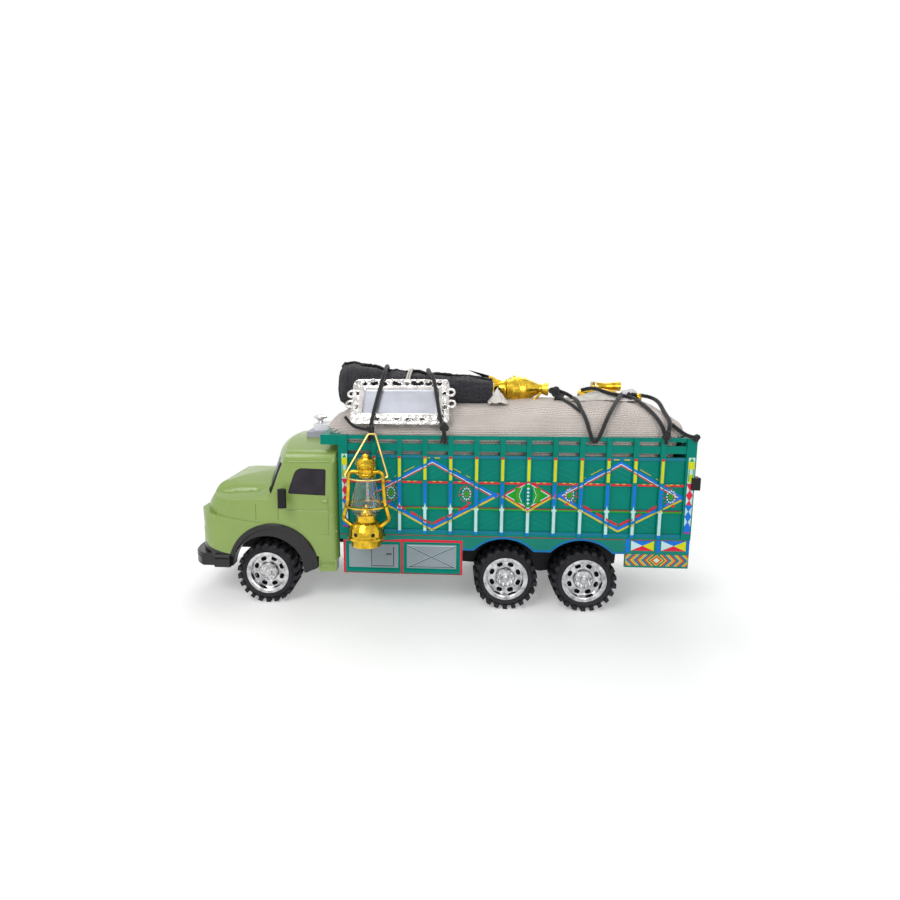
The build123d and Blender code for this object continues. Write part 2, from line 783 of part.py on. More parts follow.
for hand, side in (("left", -1), ("right", 1)):
    with BuildPart() as bed_side:
        box(bed_front_x, bed_rear_x, *between(side, panel_inner, panel_outer), bed_bottom, panel_top)
        for low, high in side_rails:
            box(bed_front_x, bed_rear_x, *between(side, panel_inner, rail_outer), low, high)
        for i in range(post_count):
            x = first_post_x + i * post_pitch
            box(
                x - post_width / 2, x + post_width / 2, *between(side, panel_inner, bed_half_width),
                bed_bottom, bed_top,
            )
        for x in (bed_front_x, corner_rear_front_x):
            box(x, x + corner_post_width, *between(side, corner_inner, bed_half_width), bed_bottom, bed_top)
        box(ledge_front_x, bed_front_x, *between(side, panel_inner, rail_outer), ledge_bottom, bed_top)
        # the hinge pin's hole in the rear corner post
        with BuildSketch(side_plane(side, corner_inner - 1, gate_pin_end + 1)):
            with Locations((gate_pin_x, gate_pin_z)):
                Circle(gate_pin_radius + fit)
        extrude(amount=gate_pin_end - corner_inner + 2, mode=Mode.SUBTRACT)
    write(bed_side, f"bed_side_{hand}")

headboard_rear_x = bed_front_x + headboard_thickness
with BuildPart() as headboard:
    box(bed_front_x, headboard_rear_x, -corner_inner, corner_inner, bed_bottom, bed_top)
    box(ledge_front_x, headboard_rear_x, -corner_inner, corner_inner, bed_top - ledge_thickness, bed_top)
    box(ledge_front_x, bed_front_x, -panel_inner, panel_inner, bed_top - ledge_thickness, bed_top)
write(headboard, "bed_headboard")

# the tailgate has the rails and posts of the sides, and turns on pins at its foot
gate_half = corner_inner - free
gate_rail_x = bed_rear_x
with BuildPart() as gate:
    box(gate_front_x, gate_rear_x, -gate_half, gate_half, gate_pin_z, panel_top)
    for low, high in side_rails[1:]:
        box(gate_front_x, gate_rail_x, -gate_half, gate_half, low, high)
    for i in range(gate_post_count):
        y = (i / (gate_post_count - 1) - 0.5) * (2 * gate_half - post_width)
        box(gate_front_x, gate_rail_x, y - post_width / 2, y + post_width / 2, gate_pin_z + 4, bed_top)
    for half, radius in ((gate_half, gate_thickness / 2), (gate_pin_end, gate_pin_radius)):
        with BuildSketch(upright(half)):
            with Locations((gate_pin_x, gate_pin_z)):
                Circle(radius)
        extrude(amount=2 * half)
write(gate, "tailgate")

with BuildPart() as latches:
    for side in (-1, 1):
        box(
            bed_rear_x, total_length / 2, *between(side, bed_half_width - 6.5, bed_half_width + 1.5),
            latch_bottom, latch_top,
        )
        box(bed_rear_x - 3, bed_rear_x, *between(side, bed_half_width, bed_half_width + 1.5), latch_bottom, latch_top)
write(latches, "latches")


# Skirts below the bed with their wheel openings, and the tool boxes

skirt_outer = bed_half_width - skirt_inset
skirt_inner = skirt_outer - skirt_thickness
(front_arch, front_top_x, front_top_z, front_arch_rear), (rear_arch, rear_top_x, rear_top_z, rear_arch_rear) = skirt_arches
for hand, side in (("left", -1), ("right", 1)):
    with BuildPart() as skirt:
        with BuildSketch(side_plane(side, skirt_inner, skirt_outer)):
            with BuildLine():
                Polyline(
                    (front_arch, skirt_bottom), (toolbox_rear_x, skirt_bottom), (toolbox_rear_x, skirt_over_boxes),
                    (bed_front_x, skirt_over_boxes), (bed_front_x, bed_bottom), (bed_rear_x, bed_bottom),
                    (bed_rear_x, rear_panel_bottom), (rear_panel_front_x, rear_panel_bottom),
                    (rear_panel_front_x, skirt_bottom), (rear_arch_rear, skirt_bottom),
                )
                ThreePointArc((rear_arch_rear, skirt_bottom), (rear_top_x, rear_top_z), (rear_arch, skirt_bottom))
                Line((rear_arch, skirt_bottom), (front_arch_rear, skirt_bottom))
                ThreePointArc((front_arch_rear, skirt_bottom), (front_top_x, front_top_z), (front_arch, skirt_bottom))
            make_face()
        extrude(amount=skirt_thickness)
    write(skirt, f"skirt_{hand}")

    with BuildPart() as boxes:
        box(
            toolbox_front_x, toolbox_rear_x, *between(side, skirt_outer - toolbox_depth, skirt_inner),
            toolbox_bottom, bed_bottom - floor_thickness,
        )
        box(
            toolbox_front_x, toolbox_rear_x, *between(side, skirt_inner, skirt_outer),
            toolbox_bottom, skirt_over_boxes,
        )
        for front, rear, bottom, top in toolbox_doors:
            box(
                front, rear, *between(side, skirt_outer - door_recess, skirt_outer + 1), bottom, top,
                mode=Mode.SUBTRACT,
            )
    write(boxes, f"toolboxes_{hand}")


# Load: sack, cloth roll, tray, coffee pot and cups

sack_half = panel_inner - sack_side_gap
sack_front_x = bed_front_x + corner_post_width + free
sack_rear_x = corner_rear_front_x - free
sack_lip_x = -92.0       # the sack laps over the ledge up to here
with BuildPart() as sack:
    with BuildSketch(upright(sack_half + 1)):
        with BuildLine():
            Polyline(
                (sack_lip_x, bed_top + seat), (sack_front_x, bed_top + seat), (sack_front_x, bed_bottom + seat),
                (sack_rear_x, bed_bottom + seat), (sack_rear_x, 160.0), (206.0, 172.0), (190.0, 179.0),
                (72.0, 178.2), (60.0, 176.4), (-45.0, 174.4), (-60.0, 173.4), (-86.0, 168.0), (sack_lip_x, bed_top + seat),
            )
        make_face()
    extrude(amount=2 * sack_half + 2)
    with BuildSketch(across(sack_lip_x - 1)):
        with BuildLine():
            Polyline(
                (-sack_half, sack_edge_z), (-sack_half, 145.0), (-sack_neck_half, sack_neck_top),
                (-sack_neck_half, bed_bottom), (sack_neck_half, bed_bottom), (sack_neck_half, sack_neck_top),
                (sack_half, 145.0), (sack_half, sack_edge_z),
            )
            ThreePointArc((sack_half, sack_edge_z), (0, sack_crown_z), (-sack_half, sack_edge_z))
        make_face()
    extrude(amount=total_length, mode=Mode.INTERSECT)
write(sack, "sack")

with BuildPart() as roll:
    for x, y, z, radius in roll_sections:
        with BuildSketch(across(x)):
            with Locations((y, z)):
                RegularPolygon(radius=radius, side_count=24)
    loft(ruled=True)
write(roll, "cloth_roll")

# the tray leans back on the roll; its sketch plane runs up along the slope
lean = radians(tray_lean)
tray_x, tray_y, tray_z = tray_foot
tray_plane = Plane(origin=(tray_x, mid_y + tray_y, tray_z), x_dir=(1, 0, 0), z_dir=(0, -cos(lean), sin(lean)))
tray_length, tray_height = tray_size
# lobes of the rim: along the tray, up the slope
lobes = [(-46.6, 17.0), (-45.4, 28.0), (46.6, 18.0), (45.4, 30.0)]
tray_panel = (-1.0, 19.5, 64.0, 24.0)     # middle along and up, length, height
with BuildPart() as tray:
    with BuildSketch(tray_plane) as tray_outline:
        with Locations((0, tray_height / 2 + tray_low_edge)):
            RectangleRounded(tray_length, tray_height, radius=6)
        with Locations(*lobes):
            Circle(lobe_radius)
        with Locations(*lobes):
            Circle(lobe_radius - 2.4, mode=Mode.SUBTRACT)
    extrude(amount=tray_thickness)
    with BuildSketch(tray_plane.offset(tray_thickness - tray_panel_drop)):
        with Locations(tray_panel[:2]):
            RectangleRounded(tray_panel[2], tray_panel[3], radius=3)
    extrude(amount=tray_thickness, mode=Mode.SUBTRACT)
write(tray, "tray")


def lying(x, y, z, points):
    """A turned form about an axis along the truck, inside the open part; points are distance along, radius."""
    with BuildSketch(level(z)) as outline:
        with BuildLine():
            Polyline(*[(x + d, y + r) for d, r in points], close=True)
        make_face()
    return revolve(outline.sketch, axis=Axis((x, mid_y + y, z), (1, 0, 0)))


# the pot lies on its side with its foot to the rear; its beak points up and forward
pot_y = 4.0
pot_z = 190.4
pot_front_x = 66.5
pot_turned = [
    (0.0, 0.0), (0.0, 5.5), (2.0, 9.0), (7.0, 11.4), (13.0, 11.9), (19.0, 11.2), (27.0, 7.6), (32.0, 5.0),
    (35.0, 4.6), (40.0, 6.4), (40.6, 6.4), (40.6, 0.0),
]
beak = [(31.7, 208.4), (43.0, 205.6), (54.4, 202.4), (67.5, 196.0), (67.5, 186.0), (57.0, 195.4), (43.0, 203.2)]
with BuildPart() as pot:
    lying(pot_front_x, pot_y, pot_z, pot_turned)
    with BuildSketch(upright(pot_y + 2)):
        with BuildLine():
            Polyline(*beak, close=True)
        make_face()
    extrude(amount=4)
    # lid knob
    with BuildSketch(level(pot_z + 10.4)):
        with Locations((pot_front_x + 9.5, pot_y)):
            Circle(1.6)
    extrude(amount=2.2)
write(pot, "coffee_pot")

# cups lying on the sack: x, y, z of one end, and the turned outline
lying_cups = [
    (134.5, -3.0, 185.4, [(0, 0), (0, 4.4), (3, 6.4), (22, 6.4), (34, 4.0), (34, 3.0), (22, 4.9), (20, 0)]),
    (148.2, 5.0, 193.2, [(0, 0), (0, 4.4), (6, 4.0), (13, 3.0), (20, 3.8), (26, 4.6), (26, 3.8), (20, 3.0), (14, 0)]),
    (170.0, 2.0, 182.2, [(0, 0), (0, 2.4), (15, 2.7), (23, 3.0), (23, 2.2), (15, 2.0), (12, 0)]),
]
with BuildPart() as cups:
    for x, y, z, points in lying_cups:
        lying(x, y, z, points)
write(cups, "cups")


# Hurricane lantern on its wire bail

foot_z = lantern_foot_z
guard_z = foot_z + 34.3
guard_size = (18.2, 14.8)
guard_wire = 1.2
with BuildPart() as lantern:
    turned(lantern_x, lantern_y, [
        (0, foot_z), (13.0, foot_z), (13.0, foot_z + 6.4), (lantern_base_radius, foot_z + 6.4),
        (lantern_base_radius, foot_z + 8.0), (14.5, foot_z + 9.0), (14.5, foot_z + 14.6),
        (11.0, foot_z + 19.5), (8.5, foot_z + 21.0), (8.5, foot_z + 26.6), (0, foot_z + 26.6),
    ])
    # collar, cap and its top
    turned(lantern_x, lantern_y, [
        (0, foot_z + 58.4), (6.5, foot_z + 58.4), (6.5, foot_z + 65.0), (8.4, foot_z + 68.0), (8.4, foot_z + 71.5),
        (6.6, foot_z + 73.8), (3.0, foot_z + 75.2), (0, foot_z + 75.4),
    ])
    for side in (-1, 1):
        tube(
            [
                (lantern_x + side * 5.5, lantern_y, foot_z + 62.5),
                (lantern_x + side * 14.0, lantern_y, foot_z + 62.5),
                (lantern_x + side * 15.6, lantern_y, foot_z + 37.0),
                (lantern_x + side * 19.6, lantern_y, foot_z + 22.0),
                (lantern_x + side * 9.0, lantern_y, foot_z + 13.0),
            ],
            [3.5, 6.0, 2.6], lantern_tube_radius,
        )
    # guard wire round the glass, held by the side tubes
    with BuildSketch(level(guard_z - guard_wire / 2)):
        with Locations((lantern_x, lantern_y)):
            Ellipse(*guard_size)
            Ellipse(guard_size[0] - guard_wire, guard_size[1] - guard_wire, mode=Mode.SUBTRACT)
    extrude(amount=guard_wire)
write(lantern, "lantern_frame")

with BuildPart() as chimney:
    turned(lantern_x, lantern_y, [
        (10.5, foot_z + 26.8), (12.4, foot_z + 29.5), (12.9, foot_z + 34.0), (12.0, foot_z + 40.0), (9.4, foot_z + 49.0),
        (7.8, foot_z + 58.0), (7.0, foot_z + 58.0), (8.6, foot_z + 49.0), (11.2, foot_z + 40.0), (12.1, foot_z + 34.0),
        (11.6, foot_z + 29.9), (9.5, foot_z + 26.8),
    ])
write(chimney, "lantern_glass")

bail_apex_y = -(bed_half_width + bail_apex_out)
bail_eye = 16.3          # the bail's ends, beside the lantern's middle
bail_eye_z = foot_z + 58.0
with BuildPart() as bail:
    tube(
        [
            (lantern_x - bail_eye, lantern_y, bail_eye_z),
            (lantern_x - bail_eye - 2.2, lantern_y, bail_eye_z),
            (bail_apex_x - 3.0, bail_apex_y, bail_apex_z),
            (bail_apex_x + 3.0, bail_apex_y, bail_apex_z),
            (lantern_x + bail_eye + 2.2, lantern_y, bail_eye_z),
            (lantern_x + bail_eye, lantern_y, bail_eye_z),
        ],
        [1.2, 2.0, 2.0, 1.2], bail_wire,
    )
write(bail, "lantern_bail")


# Lashing cords over the load: x, y, z of the corners and the bend at each

cord_out = rail_outer + cord_radius + seat
far_x = 128.0            # where the middle cord comes down on the right side
cord_foot = 149.5
# each corner: x, y, z, radius of the bend
cord_routes = {
    "cord_front": [
        (-54.8, -cord_out, cord_foot, 0), (-54.6, -cord_out, 158.0, 4), (-52.4, -61.0, 168.2, 4),
        (-45.0, -31.7, 204.4, 4), (-44.0, -22.5, 216.4, 4), (-44.0, 2.5, 216.4, 4), (-46.0, 15.0, 198.0, 4),
        (-48.0, 22.0, 182.0, 4), (-50.0, 44.0, 174.4, 4), (-53.0, 61.5, 166.4, 4), (-54.8, cord_out, 158.0, 4),
        (-54.8, cord_out, cord_foot, 0),
    ],
    "cord_tray": [
        (11.0, -cord_out, cord_foot, 0), (9.8, -cord_out, 158.0, 4), (6.5, -61.0, 168.2, 4),
        (0.3, -31.7, 204.4, 4), (-5.0, -21.0, 212.0, 4), (-5.0, 1.0, 212.0, 4), (-3.0, 12.0, 197.0, 4),
        (0.0, 20.0, 182.5, 4), (4.0, 44.0, 174.4, 4), (8.0, 61.5, 166.4, 4), (9.8, cord_out, 158.0, 4),
        (11.0, cord_out, cord_foot, 0),
    ],
    "cord_middle": [
        (171.0, -13.0, 183.4, 0), (158.0, -38.0, 178.8, 4), (146.0, -56.0, 169.6, 4), (140.5, -cord_out, 158.0, 3),
        (136.0, -cord_out, 150.5, 2.4), (131.5, -cord_out, 158.0, 3), (129.8, -56.0, 169.4, 4),
        (127.9, -34.0, 179.6, 4), (127.0, -12.0, 183.4, 4), (far_x, 20.0, 182.6, 4), (far_x, 44.0, 174.6, 4),
        (far_x + 3, 61.5, 166.4, 4), (far_x + 4, cord_out, 158.0, 4), (far_x + 4, cord_out, cord_foot, 0),
    ],
    "cord_rear": [
        (194.0, -cord_out - 1.2, cord_foot, 0), (190.0, -cord_out - 1.2, 158.0, 4), (188.8, -61.5, 166.4, 4),
        (186.0, -40.0, 177.0, 4), (182.0, -14.0, 183.0, 3), (180.5, -4.0, 188.6, 3), (180.5, 7.0, 188.6, 3),
        (183.0, 19.0, 182.4, 3), (188.0, 44.0, 174.6, 4), (196.0, 61.5, 166.4, 4), (197.0, cord_out, 158.0, 4),
        (197.0, cord_out, cord_foot, 0),
    ],
}
for label, corners in cord_routes.items():
    with BuildPart() as cord:
        tube([corner[:3] for corner in corners], [corner[3] for corner in corners[1:-1]], cord_radius)
    write(cord, label)
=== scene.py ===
import math
import random

import bpy
import bmesh
from mathutils import Matrix, Vector, noise
from mathutils.bvhtree import BVHTree


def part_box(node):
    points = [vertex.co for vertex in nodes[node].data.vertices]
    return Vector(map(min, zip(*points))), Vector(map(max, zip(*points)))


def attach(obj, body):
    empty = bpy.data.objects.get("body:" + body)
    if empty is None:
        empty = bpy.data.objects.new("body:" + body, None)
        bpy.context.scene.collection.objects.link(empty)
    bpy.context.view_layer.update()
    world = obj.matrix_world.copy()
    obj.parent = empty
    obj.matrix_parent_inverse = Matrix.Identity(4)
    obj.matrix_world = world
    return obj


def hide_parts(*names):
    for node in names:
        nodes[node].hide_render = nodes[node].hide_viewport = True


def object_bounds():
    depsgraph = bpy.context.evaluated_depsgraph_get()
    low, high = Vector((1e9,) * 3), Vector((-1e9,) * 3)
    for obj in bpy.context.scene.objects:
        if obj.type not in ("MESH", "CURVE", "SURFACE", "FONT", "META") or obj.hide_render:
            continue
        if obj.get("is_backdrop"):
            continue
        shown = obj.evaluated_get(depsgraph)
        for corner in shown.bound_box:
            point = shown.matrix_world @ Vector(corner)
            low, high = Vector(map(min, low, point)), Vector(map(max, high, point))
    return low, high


# Decorated toy truck. Lengths in the tables are millimetres, x and z as in the frame and y from the truck's
# middle plane; they are turned into metres where a mesh is made.

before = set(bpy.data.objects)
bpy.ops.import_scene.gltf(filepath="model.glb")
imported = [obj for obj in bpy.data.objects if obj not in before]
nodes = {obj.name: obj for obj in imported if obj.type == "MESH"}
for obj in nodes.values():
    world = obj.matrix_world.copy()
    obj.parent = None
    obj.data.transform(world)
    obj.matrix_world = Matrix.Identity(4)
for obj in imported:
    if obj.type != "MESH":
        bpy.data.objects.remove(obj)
cad_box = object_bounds()
random.seed(7)

MM = 0.001
TURN = 2 * math.pi
MID = sum(corner.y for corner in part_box("chassis")) / 2 / MM
X, Y, Z = (1, 0, 0), (0, 1, 0), (0, 0, 1)
HANDS = (("left", -1), ("right", 1))

# driving dimensions of the frame
bed_half = 65.0
rail_face = 64.0
panel_face = 63.0
skirt_face = 64.0
post_xs = [-50.2 + 22.0 * i for i in range(12)]
axle_xs = {"front": -148.8, "middle": 64.9, "rear": 133.0}
tyre_radius = 27.5


def at(x, y, z):
    return Vector((x, y + MID, z)) * MM


def placed(name, data):
    """A new object in the scene."""
    obj = bpy.data.objects.new(name, data)
    bpy.context.scene.collection.objects.link(obj)
    return obj


# Camera

cam_data = bpy.data.cameras.new("camera")
cam_data.sensor_width = 36.0
cam_data.lens = 22.03
cam_data.shift_x = 0.0441
cam_data.shift_y = -0.0237
cam_data.clip_start = 0.01
camera = placed("camera", cam_data)
yaw, pitch, roll_angle = -0.067, 0.146, -0.001
ahead = Vector((math.sin(yaw) * math.cos(pitch), math.cos(yaw) * math.cos(pitch), -math.sin(pitch)))
right = Vector((math.cos(yaw), -math.sin(yaw), 0))
up = right.cross(ahead)
right, up = (right * math.cos(roll_angle) + up * math.sin(roll_angle),
             up * math.cos(roll_angle) - right * math.sin(roll_angle))
eye = Vector((12.20, -513.3, 229.39)) * MM
camera.matrix_world = Matrix.Translation(eye) @ Matrix((right, up, -ahead)).transposed().to_4x4()
bpy.context.scene.camera = camera


# Materials

def linear(r, g, b):
    """A colour written as 0-255 sRGB, as the shader wants it."""

    def one(c):
        c /= 255
        return c / 12.92 if c <= 0.04045 else ((c + 0.055) / 1.055) ** 2.4
    return (one(r), one(g), one(b), 1)


def shade(color, k):
    return tuple(min(1.0, c * k) for c in color[:3]) + (1,)


class Graph:
    """Short hand for adding and linking shader nodes."""

    def __init__(self, tree):
        self.tree = tree

    def add(self, kind, **values):
        node = self.tree.nodes.new(kind)
        for key, value in values.items():
            if key in node.inputs:
                node.inputs[key].default_value = value
            else:
                setattr(node, key, value)
        return node

    def link(self, a, b):
        self.tree.links.new(a, b)

    def feed(self, socket, value):
        """Link an output to a socket, or set a constant on it."""
        if isinstance(value, bpy.types.NodeSocket):
            self.link(value, socket)
        else:
            socket.default_value = value

    def wire(self, kind, *sources):
        """A new node's outputs, its sockets fed in their order."""
        node = self.add(kind)
        for socket, value in zip(node.inputs, sources):
            self.feed(socket, value)
        return node.outputs

    def split(self, vector):
        return self.wire("ShaderNodeSeparateXYZ", vector)

    def seen(self):
        """1 for the rays that show a thing, directly or in or through another, and 0 for the ones that light it."""
        rays = self.add("ShaderNodeLightPath").outputs
        sharp = self.math("MAXIMUM", rays["Is Glossy Ray"], rays["Is Transmission Ray"])
        return self.math("MAXIMUM", rays["Is Camera Ray"], sharp)

    def place(self):
        return self.add("ShaderNodeTexCoord").outputs["Object"]

    def uv(self):
        return self.add("ShaderNodeTexCoord").outputs["UV"]

    def noise(self, scale, detail=3.0):
        node = self.add("ShaderNodeTexNoise", Scale=scale, Detail=detail)
        self.link(self.place(), node.inputs["Vector"])
        return node.outputs["Fac"]

    def ramp(self, fac, stops):
        node = self.add("ShaderNodeValToRGB")
        elements = node.color_ramp.elements
        while len(elements) < len(stops):
            elements.new(0.5)
        for element, (position, color) in zip(elements, stops):
            element.position = position
            element.color = color
        self.link(fac, node.inputs["Fac"])
        return node.outputs["Color"]

    def math(self, operation, *values):
        node = self.add("ShaderNodeMath", operation=operation)
        for socket, value in zip(node.inputs, values):
            self.feed(socket, value)
        return node.outputs["Value"]

    def mix(self, fac, a, b):
        node = self.add("ShaderNodeMix", data_type="RGBA")
        factor = next(s for s in node.inputs if s.name == "Factor" and s.type == "VALUE")
        colors = [s for s in node.inputs if s.type == "RGBA"]
        for socket, value in zip((factor, *colors), (fac, a, b)):
            self.feed(socket, value)
        return next(s for s in node.outputs if s.type == "RGBA")


class Nodes(Graph):
    """One material."""

    def __init__(self, name, rough=0.4, metallic=0.0, **sockets):
        self.mat = bpy.data.materials.new(name)
        self.mat.use_nodes = True
        super().__init__(self.mat.node_tree)
        self.bsdf = self.tree.nodes["Principled BSDF"]
        self.bsdf.inputs["Roughness"].default_value = rough
        self.bsdf.inputs["Metallic"].default_value = metallic
        if metallic == 0.0:
            self.bsdf.inputs["Specular IOR Level"].default_value = 0.24
        for key, value in sockets.items():
            self.bsdf.inputs[key.replace("_", " ")].default_value = value

    def vary_rough(self, low, high, scale=90.0):
        node = self.add("ShaderNodeMapRange")
        node.inputs["To Min"].default_value = low
        node.inputs["To Max"].default_value = high
        self.link(self.noise(scale), node.inputs["Value"])
        self.link(node.outputs["Result"], self.bsdf.inputs["Roughness"])

    def bump(self, height, strength, distance, under=None):
        node = self.add("ShaderNodeBump", Strength=strength, Distance=distance)
        self.link(height, node.inputs["Height"])
        if under is not None:
            self.link(under, node.inputs["Normal"])
        self.link(node.outputs["Normal"], self.bsdf.inputs["Normal"])
        return node.outputs["Normal"]

    def color(self, output):
        self.link(output, self.bsdf.inputs["Base Color"])


def tones(low, dark, high, light):
    """Two stops of a ramp, their colours as 0-255 sRGB."""
    return [(low, linear(*dark)), (high, linear(*light))]


def surface(name, scale, detail, stops, grain=None, gloss=None, rough=0.4, metallic=0.0, **sockets):
    """Drifting tones with a skin of (noise scale, detail, strength, depth) and a gloss from low to high roughness."""
    n = Nodes(name, rough, metallic, **sockets)
    n.color(n.ramp(n.noise(scale, detail), stops))
    if gloss:
        n.vary_rough(*gloss)
    if grain:
        n.bump(n.noise(*grain[:2]), *grain[2:])
    return n


def waved(n, strength, depth, **wave):
    """The same surface with regular ribs or threads."""
    ribs = n.add("ShaderNodeTexWave", **wave)
    n.link(n.place(), ribs.inputs["Vector"])
    n.bump(ribs.outputs["Fac"], strength, depth)
    return n


def plastic(name, rgb, rough=0.34, vary=0.07, scale=45.0, grain=0.08, **sockets):
    """Moulded or printed plastic: faint colour drift, uneven gloss and a very fine skin."""
    base = linear(*rgb)
    stops = [(0.3, shade(base, 1 - vary)), (0.7, shade(base, 1 + vary))]
    gloss = (max(0.05, rough - 0.07), rough + 0.09)
    return surface(name, scale, 4.0, stops, (900.0, 2.0, grain, 0.0002), gloss, rough, **sockets).mat


def metal(name, rgb, rough, dark=0.72, scale=120.0, grain=0.12):
    """Plated metal or metallised plastic with small ripples and rubbed places."""
    base = linear(*rgb)
    stops = [(0.3, shade(base, dark)), (0.62, base)]
    return surface(name, scale, 5.0, stops, (240.0, 3.0, grain, 0.0004), (rough, rough + 0.12, 160.0), rough, 1.0).mat


teal = plastic("teal_paint", (0, 128, 112), 0.32, Specular_IOR_Level=0.1)
paints = {
    "teal": teal,
    "skirt": plastic("skirt_paint", (30, 128, 112), 0.35, Specular_IOR_Level=0.1),
    # a lighter teal for the embossed lines: a painted highlight standing in for their relief
    "emboss": plastic("embossed_line_highlight", (14, 140, 120), 0.3),
    "red": plastic("red_print", (214, 32, 58), 0.4),
    "blue": plastic("blue_print", (0, 112, 214), 0.4),
    "edge": plastic("edge_blue_print", (0, 112, 172), 0.4),
    "rail": plastic("rail_blue_print", (0, 118, 140), 0.38),
    "yellow": plastic("yellow_print", (208, 212, 20), 0.4),
    "ochre": plastic("ochre_print", (206, 190, 50), 0.4),
    "white": plastic("white_print_and_highlight", (190, 222, 224), 0.4),
    "green": plastic("green_print", (6, 158, 22), 0.4),
    "brown": plastic("brown_print", (150, 106, 60), 0.4),
    "grey": plastic("grey_print", (140, 152, 158), 0.36, 0.12, 22.0),
    "line": plastic("dark_line_print_and_shade", (58, 68, 74), 0.4),
    "maroon": plastic("maroon_print", (128, 62, 66), 0.42),
    "magenta": plastic("magenta_print", (150, 50, 150), 0.42),
}
black_plastic = plastic("black_plastic", (22, 22, 24), 0.45, 0.2)
black_gloss = plastic("black_gloss", (18, 18, 21), 0.22, 0.2, grain=0.04, Specular_IOR_Level=0.5)
chassis_black = plastic("chassis_black", (28, 28, 31), 0.55, 0.25)
screen_black = plastic("screen_black", (14, 14, 16), 0.5, 0.2, Specular_IOR_Level=0.05)
cab_green = plastic("cab_green", (140, 166, 86), 0.24, 0.035, 30.0, 0.04, Specular_IOR_Level=0.55)
chrome = metal("chrome", (226, 226, 230), 0.1)
wheel_chrome = metal("wheel_chrome", (220, 220, 222), 0.14, 0.4, 190.0, 0.22)
steel = metal("steel", (170, 170, 172), 0.3)
gold = metal("gilt", (236, 194, 56), 0.11, 0.38, 150.0, 0.2)
pale_gold = metal("pale_gilt_wire", (222, 200, 122), 0.22, 0.8)
silver = metal("silver", (226, 223, 220), 0.12, 0.6, 120.0, 0.16)
silver_pan = metal("silver_pan", (190, 193, 202), 0.3, 0.8, 40.0, 0.06)
lamp_lens = waved(surface("lamp_lens", 80.0, 3.0, tones(0.3, (176, 176, 180), 0.7, (234, 234, 236)), rough=0.14,
                          metallic=1.0), 0.7, 0.0006, bands_direction="Y", Scale=240.0).mat
white_cloth = waved(surface("white_cloth", 90.0, 4.0, tones(0.3, (214, 208, 200), 0.7, (240, 237, 232)), rough=0.8,
                            Sheen_Weight=0.2), 0.3, 0.0003, Scale=620.0, Distortion=1.5).mat
glazing = surface("dark_glazing", 26.0, 3.0, tones(0.35, (46, 43, 50), 0.7, (72, 67, 76)), gloss=(0.16, 0.26, 60.0),
                  rough=0.2, Specular_IOR_Level=0.1).mat
rubber = surface("tyre_rubber", 70.0, 5.0, tones(0.3, (22, 22, 25), 0.75, (44, 44, 49)), (1400.0, 3.0, 0.25, 0.0003),
                 (0.5, 0.72, 120.0), 0.62).mat
glass = surface("lantern_glass", 60.0, 2.0, [(0.3, (0.93, 0.95, 0.93, 1)), (0.7, (1, 1, 1, 1))],
                (150.0, 2.0, 0.06, 0.0004), rough=0.03, Transmission_Weight=1.0, IOR=1.45).mat
wool = surface("black_wool", 900.0, 4.0, tones(0.3, (6, 6, 8), 0.75, (32, 32, 37)), (3200.0, 3.0, 0.6, 0.0004),
               rough=0.9, Sheen_Weight=0.3, Sheen_Roughness=0.6).mat
string = surface("white_string", 1200.0, 3.0, tones(0.3, (196, 190, 180), 0.7, (240, 236, 230)),
                 (2600.0, 3.0, 0.5, 0.0003), rough=0.8, Sheen_Weight=0.2).mat


def knit_material(name, light, dark, row, stitch):
    """A knitted cover: rows of small loops, every other row half a stitch along, painted darker in the hollows between
    them as painted shade; UVs are in metres.
    """
    n = Nodes(name, 0.85, Sheen_Weight=0.25, Sheen_Roughness=0.5)
    outputs = n.split(n.uv())
    u, v = outputs["X"], outputs["Y"]
    drift = n.noise(140.0, 2.0)
    vv = n.math("ADD", n.math("MULTIPLY", v, TURN / (row * MM)), n.math("MULTIPLY", drift, 0.9))
    rows = n.math("MULTIPLY", n.math("ADD", n.math("SINE", vv), 1.0), 0.5)
    half = n.math("MULTIPLY", n.math("FLOOR", n.math("DIVIDE", vv, TURN)), math.pi)
    uu = n.math("ADD", n.math("MULTIPLY", u, TURN / (stitch * MM)), n.math("ADD", half, drift))
    loops = n.math("MULTIPLY", n.math("ADD", n.math("SINE", uu), 1.0), 0.5)
    height = n.math("MULTIPLY", rows, n.math("ADD", n.math("MULTIPLY", loops, 0.8), 0.2))
    patches = n.noise(28.0, 4.0)
    fibres = n.noise(2600.0, 2.0)
    # colour: painted shade, darker in the hollows between loops and rows, mixed with random patches and fibres of the
    # yarn's own tone
    tone = n.math("ADD", n.math("MULTIPLY", height, 0.6),
                  n.math("ADD", n.math("MULTIPLY", patches, 0.22), n.math("MULTIPLY", fibres, 0.26)))
    n.color(n.ramp(tone, [(0.12, dark), (0.42, light), (0.85, shade(light, 1.08))]))
    fine = n.bump(fibres, 0.35, 0.0002)
    n.bump(height, 1.0, 0.0009, under=fine)
    return n.mat


sack_knit = knit_material("sack_knit", linear(240, 230, 223), linear(146, 128, 120), 2.2, 2.6)
roll_cloth = knit_material("roll_cloth", linear(50, 50, 58), linear(8, 8, 11), 2.0, 9.0)


def roof_box_material():
    """Grey, painted white above a height: a painted highlight where the light from above falls on its top."""
    lit_top_z = 0.1512      # metres
    n = Nodes("roof_box_painted_lit_top", 0.32)
    # white above the height is a painted highlight of the top lit from above; grey below
    above = n.math("GREATER_THAN", n.split(n.place())["Z"], lit_top_z)
    patches = n.noise(60.0, 4.0)
    lower = n.ramp(patches, tones(0.3, (150, 150, 164), 0.7, (176, 176, 190)))
    upper = n.ramp(patches, tones(0.3, (226, 226, 232), 0.7, (244, 244, 248)))
    n.color(n.mix(above, lower, upper))
    n.vary_rough(0.26, 0.4)
    n.bump(n.noise(900.0, 2.0), 0.06, 0.0002)
    return n.mat


